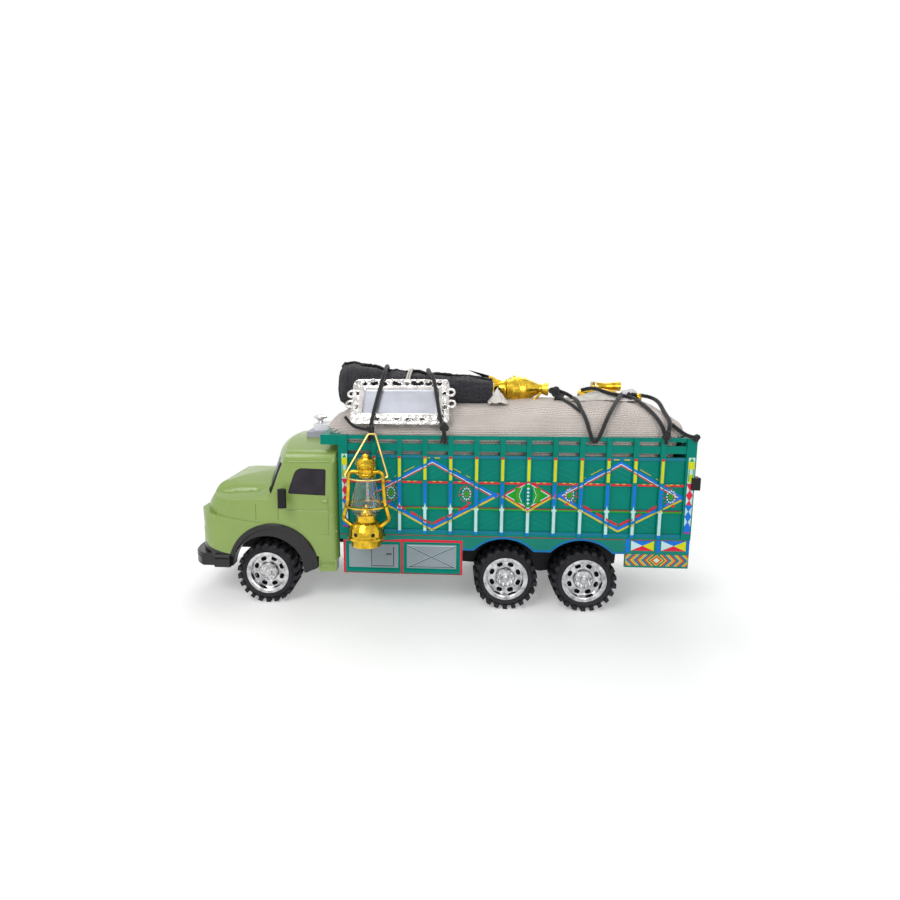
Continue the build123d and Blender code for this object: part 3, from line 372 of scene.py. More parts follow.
def pot_material():
    """Gilt, with the beak at the front painted near black as painted shade."""
    beak_shade_x = 0.0515      # metres
    n = Nodes("gilt_pot", 0.11, 1.0)
    # the beak in front of this x is painted near black: painted shade, not the gilt's own colour
    tip = n.math("LESS_THAN", n.split(n.place())["X"], beak_shade_x)
    base = linear(246, 206, 66)
    worn = n.ramp(n.noise(150.0, 5.0), [(0.3, shade(base, 0.45)), (0.62, base)])
    n.color(n.mix(tip, worn, linear(20, 18, 16)))
    n.vary_rough(0.1, 0.26, 160.0)
    n.bump(n.noise(240.0, 3.0), 0.2, 0.0005)
    return n.mat


def dress(material, *names):
    for name in names:
        data = nodes[name]
        for slot in data.material_slots:
            slot.link = "OBJECT"
            slot.material = material


dress(teal, "bed_floor", "bed_side_left", "bed_side_right", "bed_headboard", "tailgate", "toolboxes_left",
      "toolboxes_right")
dress(paints["skirt"], "skirt_left", "skirt_right")
dress(steel, "axle_front", "axle_middle", "axle_rear")
dress(chassis_black, "chassis")
dress(black_plastic, "mirrors", "latches")
dress(black_gloss, "bumper_and_arches")
dress(cab_green, "cab")
dress(glazing, "cab_glazing")
dress(chrome, "grille", "roof_knob")
dress(lamp_lens, "headlamps")
dress(roof_box_material(), "roof_box")
dress(pot_material(), "coffee_pot")
dress(gold, "lantern_frame", "cups")
dress(pale_gold, "lantern_bail")
dress(glass, "lantern_glass")
dress(silver, "tray")
dress(sack_knit, "sack")
dress(roll_cloth, "cloth_roll")
dress(wool, "cord_front", "cord_tray", "cord_middle", "cord_rear")
for place in axle_xs:
    for hand in ("left", "right"):
        dress(rubber, f"tyre_{place}_{hand}")
        dress(wheel_chrome, f"wheel_{place}_{hand}")


# Mesh helpers

def make(name, verts, faces, materials, indices=None, smooth=True, body="root", slot=None, uvs=None):
    """A mesh object that rides on a body; verts are in metres in the frame."""
    mesh = bpy.data.meshes.new(name)
    mesh.from_pydata([tuple(v) for v in verts], [], faces)
    for material in materials if isinstance(materials, (list, tuple)) else [materials]:
        mesh.materials.append(material)
    if indices is not None:
        mesh.polygons.foreach_set("material_index", indices)
    mesh.polygons.foreach_set("use_smooth", [smooth] * len(mesh.polygons))
    if uvs is not None:
        layer = mesh.uv_layers.new(name="UVMap")
        for loop in mesh.loops:
            layer.data[loop.index].uv = uvs[loop.vertex_index]
    mesh.update()
    obj = placed(name, mesh)
    if body:
        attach(obj, body)
    return obj


def joined(parts):
    """One list of verts and faces from several."""
    verts, faces = [], []
    for vs, fs in parts:
        base = len(verts)
        verts += vs
        faces += [tuple(i + base for i in f) for f in fs]
    return verts, faces


def around(count, shift=0.0):
    """Angles of equal steps round a circle."""
    return [TURN * (k + shift) / count for k in range(count)]


def bands(rows, count, closed=True, flip=False):
    """Quads between rows of count points each."""
    faces = []
    for i in range(rows - 1):
        for k in range(count if closed else count - 1):
            a, b = i * count + k, i * count + (k + 1) % count
            faces.append((a, a + count, b + count, b) if flip else (a, b, b + count, a + count))
    return faces


def skin(rows, count, flip=False):
    """Closed bands with a face at both ends."""
    ends = [tuple(reversed(range(count))), tuple(range((rows - 1) * count, rows * count))]
    return bands(rows, count, flip=flip) + [end[::-1] if flip else end for end in ends]


def applied(obj):
    """The object's mesh as its modifiers leave it."""
    mesh = bpy.data.meshes.new_from_object(obj.evaluated_get(bpy.context.evaluated_depsgraph_get()))
    obj.modifiers.clear()
    return mesh


def thickened(obj, thickness, offset=-1.0):
    """The mesh of a sheet with a thickness in mm."""
    solid = obj.modifiers.new("thick", "SOLIDIFY")
    solid.thickness = thickness * MM
    solid.offset = offset
    return applied(obj)


def lathed(profile, origin, axis=Z, steps=40):
    """Verts and faces of a turned form; profile is (distance along the axis, radius) in mm, origin in mm."""
    axis = Vector(axis).normalized()
    side = axis.orthogonal()
    side = (side - axis * side.dot(axis)).normalized()
    other = axis.cross(side)
    origin = Vector(origin)
    verts = [at(*(origin + axis * d + (side * math.cos(a) + other * math.sin(a)) * r))
             for d, r in profile for a in around(steps)]
    return verts, bands(len(profile), steps)


def smooth_line(points):
    """Points in metres along a NURBS line through the frame; points are in mm."""
    curve = bpy.data.curves.new("route", "CURVE")
    curve.dimensions = "3D"
    curve.resolution_u = 10
    spline = curve.splines.new("NURBS")
    spline.points.add(len(points) - 1)
    for point, p in zip(spline.points, points):
        point.co = (*at(*p), 1)
    spline.order_u = 3
    spline.use_endpoint_u = True
    obj = bpy.data.objects.new("route", curve)
    mesh = bpy.data.meshes.new_from_object(obj)
    line = [v.co.copy() for v in mesh.vertices]
    bpy.data.objects.remove(obj)
    bpy.data.curves.remove(curve)
    bpy.data.meshes.remove(mesh)
    return line


def even(line, step):
    """The same line with points a step apart, in metres."""
    result, left = [line[0]], step
    for a, b in zip(line, line[1:]):
        length = (b - a).length
        while left <= length and length > 0:
            result.append(a.lerp(b, left / length))
            left += step
        left -= length
    if (result[-1] - line[-1]).length > step * 0.3:
        result.append(line[-1])
    return result


lobe_depth = 0.16     # of a twisted cord's radius


def swept(line, radius, sides=9, lobes=0, pitch=6.0):
    """Verts and faces of a bar or twisted cord along a line in metres; radius in mm, or one for each point."""
    radii = radius if isinstance(radius, list) else [radius] * len(line)
    verts = []
    normal = None
    run = 0.0
    for i, p in enumerate(line):
        onward = (line[min(i + 1, len(line) - 1)] - line[max(i - 1, 0)]).normalized()
        if normal is None:
            normal = onward.orthogonal().normalized()
        normal = (normal - onward * normal.dot(onward)).normalized()
        other = onward.cross(normal)
        if i:
            run += (p - line[i - 1]).length / MM
        for a in around(sides):
            r = radii[i]
            if lobes:
                r *= 1 - lobe_depth + lobe_depth * 2 * abs(math.cos(lobes / 2 * (a - TURN * run / pitch)))
            verts.append(p + (normal * math.cos(a) + other * math.sin(a)) * r * MM)
    return verts, skin(len(line), sides)


def along(table, x):
    """Linear reading of a table of (x, value...) rows."""
    for a, b in zip(table, table[1:]):
        if x <= b[0]:
            t = max(0.0, (x - a[0]) / (b[0] - a[0]))
            return [p + (q - p) * t for p, q in zip(a[1:], b[1:])]
    return list(table[-1][1:])


# Painted pattern of the sides: convex outlines in x and z, in the order in which they are printed

def clip(outline, x0, x1, z0, z1):
    """The part of a convex outline inside a rectangle."""
    for index, limit, keep_less in ((0, x0, False), (0, x1, True), (1, z0, False), (1, z1, True)):
        result = []
        for a, b in zip(outline, outline[1:] + outline[:1]):
            inside_a = a[index] <= limit if keep_less else a[index] >= limit
            inside_b = b[index] <= limit if keep_less else b[index] >= limit
            if inside_a:
                result.append(a)
            if inside_a != inside_b:
                t = (limit - a[index]) / (b[index] - a[index])
                result.append((a[0] + (b[0] - a[0]) * t, a[1] + (b[1] - a[1]) * t))
        outline = result
        if len(outline) < 3:
            return []
    return outline


def stripe(a, b, up_, down=0.0):
    """A band from a to b, this far above and below the line in z."""
    return [(a[0], a[1] - down), (b[0], b[1] - down), (b[0], b[1] + up_), (a[0], a[1] + up_)]


def rect(x0, x1, z0, z1):
    return [(x0, z0), (x1, z0), (x1, z1), (x0, z1)]


def lozenge(x, z, w, h):
    return [(x - w, z), (x, z - h), (x + w, z), (x, z + h)]


def disc(x, z, w, h, count=14):
    return [(x + w * math.cos(a), z + h * math.sin(a)) for a in around(count)]


prints = []      # colour, outline


def paint(color, *outlines):
    prints.extend((color, outline) for outline in outlines)


def big_diamond(x, half, top, middle, bottom, rosettes):
    """A large diamond of blue, white and red bands above and yellow, blue and red ones below."""
    upper = (("blue", 0.0, 2.1), ("white", 2.1, 3.0), ("red", 3.0, 4.0))
    lower = (("ochre", 0.0, 1.8), ("blue", 1.8, 4.4))
    red_dashes = ((1.0, 11.0), (13.0, 18.5), (23.0, 31.0))
    ochre_dashes = ((15.5, 24.5), (29.0, 32.5), (37.0, 40.0))
    low_tip = middle - 2.4
    rise = (low_tip - bottom) / half
    fall = (top - middle) / half
    for side in (-1, 1):
        tip = x + side * half
        for color, a, b in upper:
            paint(color, stripe((x, top - a), (tip - side * a * 0.4, middle - a), 0.0, b - a))
        for color, a, b in lower:
            paint(color, stripe((x, bottom + a), (tip - side * a * 0.4, low_tip + a), b - a))
        for a, b in red_dashes:
            ends = [(x + side * d, bottom + 5.0 + rise * d) for d in (a, b)]
            paint("red", stripe(*ends, 2.2))
        for a, b in ochre_dashes:
            ends = [(x + side * d, top + 1.7 - fall * d) for d in (a, b)]
            paint("ochre", stripe(*ends, 0.7))
        paint("ochre", rect(*sorted((x + side * 2.0, x + side * 6.5)), top + 1.0, top + 1.9))
        paint("red", lozenge(x + side * (half + 0.8), middle - 0.6, 1.5, 2.3))
        paint("blue", lozenge(x + side * (half - 1.2), middle - 0.8, 3.0, 2.6))
    z = middle + 0.2
    for rx in rosettes:
        outward = 1 if rx > x else -1
        for k, a in enumerate(around(12, 0.5)):
            paint("brown" if k % 2 else "red",
                  disc(rx - outward * 1.2 + 5.0 * math.cos(a), z + 6.6 * math.sin(a), 0.75, 0.75, 6))
        for a in around(12):
            paint("white", disc(rx + 3.3 * math.cos(a), z + 5.0 * math.sin(a), 0.72, 0.78, 6))
        paint("brown", disc(rx, z, 2.0, 2.9))
        paint("green", disc(rx, z, 1.6, 2.4))
        paint("red", lozenge(rx + outward * 2.2, z - 8.0, 1.8, 1.3), lozenge(rx - outward * 5.4, z - 1.0, 1.2, 0.9))


# posts and rails carry their own colours, each between two heights
post_print = 1.25     # half width of a post's stripe
post_bands = [("yellow", 117.0, 135.6), ("red", 135.6, 137.6), ("blue", 94.6, 114.6)]
rail_x0, rail_x1 = -73.0, 210.0
for x in post_xs:
    x0, x1 = x - post_print, x + post_print
    for color, z0, z1 in post_bands + [("blue", 69.0, 71.6), ("white", 71.6, 92.0)]:
        paint(f"post_{color}", rect(x0, x1, z0, z1))
    paint("post_white", [(x0, 91.4), (x, 96.8), (x1, 91.4)], rect(x0 - 0.8, x1 + 0.8, 90.9, 92.8))
paint("rail_red", rect(rail_x0, rail_x1, 113.9, 115.7))
for x in post_xs:
    for dx in (8.0, 13.5):
        paint("rail_ochre", rect(x + dx - 1.4, x + dx + 1.2, 115.2, 116.0))
for color, z0, z1 in (("maroon", 92.0, 93.2), ("green", 90.8, 92.0), ("rail", 135.8, 138.5), ("rail", 69.4, 72.4)):
    paint(f"rail_{color}", rect(rail_x0, rail_x1, z0, z1))

# embossed slanting lines of the lower and upper panels, which turn over halfway along the side; they are drawn flat in
# a lighter teal, a painted highlight in place of their relief
for x in [-76.0] + post_xs:
    rises = (0.0, 7.0) if x < 70 else (7.0, 0.0)
    for z0, z1 in ((74.0, 90.0), (117.5, 134.0)):
        for k in range(3):
            a, b = [(x + dx, z0 + 5.0 * k + rise) for dx, rise in zip((3.5, 18.5), rises)]
            if max(a[1], b[1]) < z1 and b[0] < rail_x1:
                paint("emboss", stripe(a, b, 0.45))
big_diamond(0.0, 55.5, 134.7, 104.6, 71.2, (-35.7, 29.6))
big_diamond(158.4, 52.8, 135.0, 104.9, 73.0, (116.8, 200.6))

# the small middle diamond
mx, mz = 81.6, 104.3
paint("ochre", lozenge(mx, mz - 1.2, 22.4, 14.0))
paint("red", lozenge(mx, mz, 21.6, 13.0))
paint("white", lozenge(mx, mz, 19.2, 11.4))
paint("green", lozenge(mx, mz, 17.6, 10.4), rect(mx - 11.0, mx - 5.8, mz - 6.8, mz + 6.8),
      rect(mx + 4.6, mx + 11.0, mz - 6.8, mz + 6.8))
paint("teal", rect(mx - 5.6, mx + 4.4, mz - 6.6, mz + 6.6))
for side in (-1, 1):
    for color, shift in (("brown", 9.4), ("white", 7.4)):
        tip = (mx + side * shift, mz)
        for end in (-1, 1):
            paint(color, stripe((tip[0] - side * 2.6, mz + end * 6.6), tip, 0.7, 0.7))
for i in range(5):
    paint("white", lozenge(mx, mz - 6.4 + 3.2 * i, 1.5, 1.3))

# print strips of the corner posts
for x0, x1 in ((-78.2, -73.4), (212.0, 217.2)):
    xm = (x0 + x1) / 2
    paint("strip_white", rect(x0, x1, 117.2, 139.2))
    paint("strip_green", [(x0 + 0.6, 135.8), (x1 - 0.6, 135.8), (xm, 139.0)])
    paint("strip_yellow", rect(x0, x1, 129.4, 135.6), rect(x0 + 1.2, x1 - 1.2, 118.0, 125.0))
    paint("strip_green", [(x0 + 0.5, 129.4), (x0 + 1.3, 129.4), (x0 + 1.3, 119.0), (x0 + 0.5, 119.0)],
          [(x1 - 1.3, 129.4), (x1 - 0.5, 129.4), (x1 - 0.5, 119.0), (x1 - 1.3, 119.0)])
    paint("strip_red", rect(x0, x1, 98.8, 117.2))
    paint("strip_blue", rect(x0, x1, 75.4, 98.8))
    for base, color in ((117.2, "red"), (98.8, "blue")):
        for i in range(2):
            z = base - 5.6 - 9.0 * i
            for side, edge in ((1, x0), (-1, x1)):
                paint("strip_white", [(edge, z - 4.2), (edge + side * 2.3, z), (edge, z + 4.2)])
    paint("strip_magenta", rect(x0, x1, 73.8, 75.4))


class Layers:
    """Flat outlines in the paints' colours, collected into one thin piece."""

    def __init__(self):
        self.colors = sorted(paints)
        self.verts, self.faces, self.indices = [], [], []

    def lay(self, color, points, flip=True):
        if len(points) > 2:
            face = tuple(range(len(self.verts), len(self.verts) + len(points)))
            self.verts += points
            self.faces.append(face[::-1] if flip else face)
            self.indices.append(self.colors.index(color))

    def lay_side(self, color, outline, side, y):
        """An outline in x and z on the upright face at y of one side."""
        self.lay(color, [at(x, side * y, z) for x, z in outline[::side]])

    def piece(self, name, body="root"):
        make(name, self.verts, self.faces, [paints[c] for c in self.colors], self.indices, smooth=False, body=body,
             slot="painted_board")


first_lift = 0.03                                            # of the lowest layer over its face
side_step, plain_step = 0.0011, 0.0015                       # from layer to layer, on the sides and elsewhere
panels_x0, panels_x1 = -73.2, 210.3
posts_z0, posts_z1 = 70.0, 137.8
cells = ((72.5, 90.9), (93.2, 114.3), (116.3, 135.7))        # lowest and highest z of the panels
side_rails = ((68.0, 72.5), (90.9, 93.2), (114.3, 116.3), (135.7, 138.6))


def print_side(side, hand):
    """The printed pattern of one side, on its panels and carried on over the rails and the posts."""
    layers = Layers()
    for order, (color, outline) in enumerate(prints):
        lift = first_lift + side_step * order
        kind, _, name = color.rpartition("_")
        if kind:
            layers.lay_side(name, outline, side, (rail_face if kind == "rail" else bed_half) + lift)
            continue
        for face, spans in ((panel_face, cells), (rail_face, side_rails)):
            for z0, z1 in spans:
                layers.lay_side(name, clip(outline, panels_x0, panels_x1, z0, z1), side, face + lift)
        for x in post_xs:
            on_post = clip(outline, x - post_print, x + post_print, posts_z0, posts_z1)
            layers.lay_side(name, on_post, side, bed_half + lift)
    layers.piece(f"print_{hand}")


for hand, side in HANDS:
    print_side(side, hand)


# Prints of skirts and tool boxes

def flat_piece(name, table, side, face):
    """Layers of colour, outline and depth below an upright face of one side."""
    layers = Layers()
    for order, (color, outline, inset) in enumerate(table):
        layers.lay_side(color, outline, side, face - inset + first_lift + plain_step * order)
    layers.piece(name)


def edge_band(points, width, color):
    """Quads along an open line, on its upper side."""
    result = []
    for (xa, za), (xb, zb) in zip(points, points[1:]):
        dx, dz = xb - xa, zb - za
        length = math.hypot(dx, dz)
        nx, nz = -dz / length * width, dx / length * width
        result.append((color, [(xa, za), (xb, zb), (xb + nx, zb + nz), (xa + nx, za + nz)], 0.0))
    return result


def arc_points(a, b, c):
    """Points of the circle arc from a over b to c."""
    count = 18
    (x1, z1), (x2, z2), (x3, z3) = a, b, c
    d = 2 * (x1 * (z2 - z3) + x2 * (z3 - z1) + x3 * (z1 - z2))
    ux = ((x1 ** 2 + z1 ** 2) * (z2 - z3) + (x2 ** 2 + z2 ** 2) * (z3 - z1) + (x3 ** 2 + z3 ** 2) * (z1 - z2)) / d
    uz = ((x1 ** 2 + z1 ** 2) * (x3 - x2) + (x2 ** 2 + z2 ** 2) * (x1 - x3) + (x3 ** 2 + z3 ** 2) * (x2 - x1)) / d
    r = math.hypot(x1 - ux, z1 - uz)
    start, end = math.atan2(z1 - uz, x1 - ux), math.atan2(z3 - uz, x3 - ux)
    if end > start:
        end -= TURN
    sweep = [start + (end - start) * i / count for i in range(count + 1)]
    return [(ux + r * math.cos(a), uz + r * math.sin(a)) for a in sweep]


skirt_layers = [("maroon", rect(-81.0, 218.0, 66.6, 67.4), 0.0)]
lower_line = [(27.0, 54.2)] + arc_points((36.6, 54.2), (62.6, 65.2), (88.0, 54.2)) \
    + arc_points((102.6, 54.2), (128.7, 65.4), (154.6, 54.2)) + [(165.3, 54.2)]
skirt_layers += edge_band(lower_line, 1.8, "edge")
for x0, x1 in ((165.5, 168.7), (191.2, 194.0), (216.2, 218.2)):
    skirt_layers.append(("blue", rect(x0, x1, 56.0, 68.0), 0.0))
for x0, x1, z0, z1 in ((170.0, 189.0, 57.6, 66.4), (195.0, 215.3, 57.8, 66.8)):
    xm, zm = (x0 + x1) / 2, (z0 + z1) / 2
    skirt_layers += [
        ("white", [(x0, z0), (xm, zm), (x0, z1)], 0.0), ("blue", [(x0, z1), (xm, zm), (x1, z1)], 0.0),
        ("yellow", [(x1, z0), (x1, z1), (xm, zm)], 0.0), ("red", [(x0, z0), (x1, z0), (xm, zm)], 0.0),
    ]
band_x, band_z0, band_z1 = 191.8, 44.2, 54.4
band_m, band_h = (band_z0 + band_z1) / 2, (band_z1 - band_z0) / 2
arrow = (("ochre", 1.3), ("red", 1.5), ("teal", 0.9), ("edge", 1.5), ("ochre", 1.1))     # colour, width
for side in (-1, 1):
    for i in range(4):
        for j, (color, w) in enumerate(arrow):
            start = 7.4 + 6.6 * i + sum([width for _, width in arrow][:j])
            for end in (-1, 1):
                quad = [(band_x + side * (start + d - slant), band_m + end * slant)
                        for d, slant in ((0.0, 0.0), (w, 0.0), (w, band_h), (0.0, band_h))]
                quad = clip(quad, 165.9, 217.7, band_z0, band_z1)
                if len(quad) > 2:
                    area = sum(a[0] * b[1] - b[0] * a[1] for a, b in zip(quad, quad[1:] + quad[:1]))
                    skirt_layers.append((color, quad if area > 0 else quad[::-1], 0.0))
for color, w, h in (("ochre", 6.0, 5.0), ("red", 4.8, 4.0), ("ochre", 3.2, 2.7), ("white", 2.4, 2.0)):
    skirt_layers.append((color, lozenge(band_x, band_m, w, h), 0.0))

box_layers = [
    ("red", [(-78.2, 60.8), (26.7, 60.8), (26.7, 62.9), (-25.0, 63.2), (-40.0, 62.0), (-78.2, 61.8)], 0.0),
    ("maroon", rect(-78.2, 26.7, 31.3, 32.3), 0.0), ("red", rect(-78.2, -76.4, 31.5, 61.8), 0.0),
    ("red", rect(24.9, 26.7, 31.5, 62.8), 0.0), ("red", rect(-27.2, -25.4, 32.3, 61.0), 0.0),
    ("grey", rect(-73.4, -29.7, 36.4, 57.8), 0.6), ("grey", rect(-22.0, 21.3, 36.6, 58.4), 0.6),
    ("line", rect(-53.6, -53.0, 37.0, 57.0), 0.6), ("line", rect(-34.2, -33.4, 38.0, 55.8), 0.6),
    # the dark line along the left door's foot is painted shade
    ("line", rect(-53.0, -33.8, 37.6, 38.3), 0.6), ("line", rect(-40.4, -35.6, 48.3, 49.8), 0.6),
]
x0, x1 = -20.6, 20.0
# each line of the cross is dark with a thin white stripe above it, a painted highlight
for a, b in (((x0, 38.0), (x1, 57.2)), ((x0, 57.2), (x1, 38.0))):
    box_layers += [("white", stripe(a, b, 0.3, 0.0), 0.6), ("line", stripe(a, b, 0.0, 0.8), 0.6)]
# a white stripe along the top of the right door is a painted highlight, and the dark line along its foot is painted
# shade
box_layers += [("white", rect(x0, x1, 57.0, 57.5), 0.6), ("line", rect(x0, x1, 37.6, 38.1), 0.6)]
for hand, side in HANDS:
    flat_piece(f"skirt_print_{hand}", skirt_layers, side, skirt_face)
    flat_piece(f"toolbox_print_{hand}", box_layers, side, skirt_face)


# Tailgate: the same bands on its posts and rails, and one diamond in the middle

def print_tailgate():
    layers = Layers()
    rail_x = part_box("tailgate")[1].x / MM
    panel_x = rail_x - 0.8
    half = 56.0
    posts = [-54.35, -27.2, 0.0, 27.2, 54.35]
    table = [("red", rect(-half, half, 114.3, 115.9)), ("maroon", rect(-half, half, 92.0, 93.1)),
             ("green", rect(-half, half, 90.95, 92.0)), ("rail", rect(-half, half, 135.8, 138.5))]
    for y in posts:
        for color, z0, z1 in post_bands + [("white", 76.5, 92.0)]:
            table.append((color, rect(y - post_print, y + post_print, z0, z1)))
    for color, w, h in (("blue", 40.0, 25.0), ("white", 37.0, 23.0), ("red", 35.6, 22.0), ("teal", 33.0, 20.2),
                        ("ochre", 22.0, 13.0), ("red", 20.4, 12.0), ("white", 18.0, 10.6), ("green", 16.4, 9.6)):
        table.append((color, lozenge(0.0, mz, w, h)))
    table += [("white", lozenge(0.0, mz + 3.2 * i, 1.5, 1.3)) for i in range(-2, 3)]
    for order, (color, outline) in enumerate(table):
        lift = first_lift + plain_step * order
        # lowest and highest y and z of each piece of face, and its x
        faces = [(a + 2.3, b - 2.3, z0, z1, panel_x) for z0, z1 in cells for a, b in zip(posts, posts[1:])]
        faces += [(y - 2.2, y + 2.2, z0, z1, rail_x) for z0, z1 in cells for y in posts]
        faces += [(-half, half, z0, z1, rail_x) for z0, z1 in side_rails[1:]]
        for y0, y1, z0, z1, x in faces:
            layers.lay(color, [at(x + lift, y, z) for y, z in clip(outline, y0, y1, z0, z1)], flip=False)
    layers.piece("print_tailgate", body="tailgate")


print_tailgate()


# Cab: the same moulding, its bonnet drawn round over the edges, and the windscreen's dark wrap at the corners

bonnet_nose_x = -209.0
bonnet_rear_x = -146.0
bonnet_half = 59.2
bonnet_foot_z = 84.0
nose_round = 27.0
edge_rise = 18.0                      # height over which an edge is drawn round
fade_x, fade_length = -148.0, 16.0    # towards the windscreen the edge keeps its form
wrap_z0, wrap_z1 = 101.0, 128.0
wrap_half, wrap_x = 44.0, -156.0      # the wrap starts this far out and back
crest_line = [(-209.0, 96.0), (-204.8, 102.0), (-193.0, 106.5), (-178.0, 109.2), (-160.0, 110.5), (-140.0, 110.5)]


def pillar_x(z):
    return -142.5 + 0.37 * (z - 103.3)


def drawn_round(x, y, z):
    """Where a point of the bonnet goes."""
    crest = along(crest_line, x)[0]
    rise = min(edge_rise, crest - bonnet_foot_z)
    t = (z - (crest - rise)) / rise
    dx = max(0.0, bonnet_nose_x + nose_round - x)
    dy = max(0.0, abs(y) - (bonnet_half - nose_round))
    out = math.hypot(dx, dy)
    if t <= 0 or out <= 0:
        return x, y, z
    side = out / nose_round
    share = max(side, t) / math.hypot(side, t)
    fade = min(1.0, max(0.0, (fade_x - x) / fade_length))
    moved = (1 - share) * fade * fade * (3 - 2 * fade) * (0.4 + 0.6 * dy / out)
    return x + dx * moved, y - math.copysign(dy * moved, y), z - t * rise * moved


def cab_shell():
    bm = bmesh.new()
    bm.from_mesh(nodes["cab"].data)
    bmesh.ops.remove_doubles(bm, verts=bm.verts, dist=1e-6)
    cuts = [((x, 0, 0), X) for x in range(-207, -146, 3)]
    cuts += [((0, MID + y, 0), Y) for y in range(-57, 58, 3)]
    cuts += [((0, 0, z), Z) for z in [85.5 + 2.2 * i for i in range(12)] + [wrap_z0, wrap_z1]]
    for point, direction in cuts:
        geometry = bm.verts[:] + bm.edges[:] + bm.faces[:]
        bmesh.ops.bisect_plane(bm, geom=geometry, plane_co=Vector(point) * MM, plane_no=direction, dist=1e-7)
    for v in bm.verts:
        x, y, z = v.co.x / MM, v.co.y / MM - MID, v.co.z / MM
        if x <= bonnet_rear_x and z >= bonnet_foot_z:
            v.co = at(*drawn_round(x, y, z))
    bm.normal_update()
    for face in bm.faces:
        c = face.calc_center_median() / MM
        z = c.z
        wrap = wrap_z0 < z < wrap_z1 and abs(c.y - MID) > wrap_half and wrap_x < c.x < pillar_x(z) - 0.2
        face.material_index = 1 if wrap and face.normal.x < -0.25 else 0
        face.smooth = True
    mesh = bpy.data.meshes.new("cab_shell")
    bm.to_mesh(mesh)
    bm.free()
    mesh.materials.append(cab_green)
    mesh.materials.append(screen_black)
    mesh.set_sharp_from_angle(angle=math.radians(28))
    obj = placed("cab_shell", mesh)
    normals = obj.modifiers.new("normals", "WEIGHTED_NORMAL")
    normals.keep_sharp = True
    normals.weight = 50
    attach(obj, "root")
    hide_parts("cab")


cab_shell()

# the bumper's near end, back to the arch: section in y and z, and its places along x
section = [(61.7, 32.0), (62.5, 33.0), (62.5, 40.0), (61.6, 40.5), (61.6, 41.2), (62.5, 41.7), (62.5, 42.4),
           (61.1, 43.8), (57.5, 43.8), (57.5, 32.0)]
stations = [-197.5 + 1.2 * i for i in range(13)]
verts = [at(x, -y - (0.02 if x > -197 else 0.0), z) for x in stations for y, z in section]
make("bumper_end_left", verts, skin(len(stations), len(section), flip=True), black_gloss, smooth=False,
     slot="black_gloss")


# black housings on the inner side of the wheels
front_housing = [(-186.0, 40.0), (-99.0, 40.0), (-99.0, 66.0), (-186.0, 66.0)]
rear_housing = [(27.5, 65.0), (27.5, 32.5), (50.0, 31.5), (78.0, 31.5), (88.0, 26.5), (99.0, 25.0), (110.0, 26.5),
                (120.0, 31.5), (150.0, 31.5), (166.0, 34.0), (168.0, 65.0)]
for hand, side in HANDS:
    parts = []
    for outline, inner in ((front_housing, 29.4), (rear_housing, 33.0)):
        n = len(outline)
        verts = [at(x, side * y, z) for y in (inner, inner + 1.3) for x, z in outline]
        faces = [tuple(range(n)), tuple(reversed(range(n, 2 * n)))]
        faces += [((i + 1) % n, i, n + i, n + (i + 1) % n) for i in range(n)]
        parts.append((verts, faces if side > 0 else [face[::-1] for face in faces]))
    make(f"wheel_housing_{hand}", *joined(parts), chassis_black, smooth=False, slot="black_plastic")


# Soft load

search = 16.0                       # how far a cord looks for the bag
roll_from, roll_to = -92.0, 55.0    # x between which it looks for the roll
edge_from, edge_to = 22.0, 62.0     # y between which a cord on the far side is drawn onto the bag


def push_out(line, tree, gap, roll_gap=None):
    """Points of a cord's line, lifted off the bag and the roll that they would run through."""
    result = []
    for p in line:
        hit, normal, _, _ = tree.find_nearest(p, search * MM)
        y = p.y / MM - MID
        if hit is not None:
            off = (p - hit).dot(normal)
            if off < gap:
                p = hit + normal * gap
            elif edge_from < y < edge_to:
                p = p - normal * (off - gap) * min(1.0, (y - edge_from) / 8.0, (edge_to - y) / 6.0)
        x, y, z = p.x / MM, p.y / MM - MID, p.z / MM
        if roll_gap and roll_from < x < roll_to:
            cy, cz, r = along(roll_sections, x)
            out = math.hypot(y - cy, z - cz)
            reach = r * drawn_in(x) + roll_gap
            if out < reach:
                p = at(x, cy + (y - cy) * reach / out, cz + (z - cz) * reach / out)
        result.append(p)
    for _ in range(3):
        result = [result[0]] + [(a + b * 2 + c) / 4 for a, b, c in zip(result, result[1:], result[2:])] + [result[-1]]
    return result


def tree_of(obj):
    bm = bmesh.new()
    bm.from_mesh(obj.data)
    bm.normal_update()
    tree = BVHTree.FromBMesh(bm)
    bm.free()
    return tree


sack_half = 60.5
sack_profile = [
    (-101.5, 157.6), (-100.0, 160.0), (-92.0, 164.0), (-84.0, 168.6), (-74.0, 172.4), (-60.0, 173.8), (-45.0, 174.6),
    (0.0, 175.8), (60.0, 177.0), (80.0, 179.4), (140.0, 181.4), (186.0, 181.2), (199.0, 178.8), (207.0, 174.0),
    (213.0, 166.0), (215.4, 158.0),
]


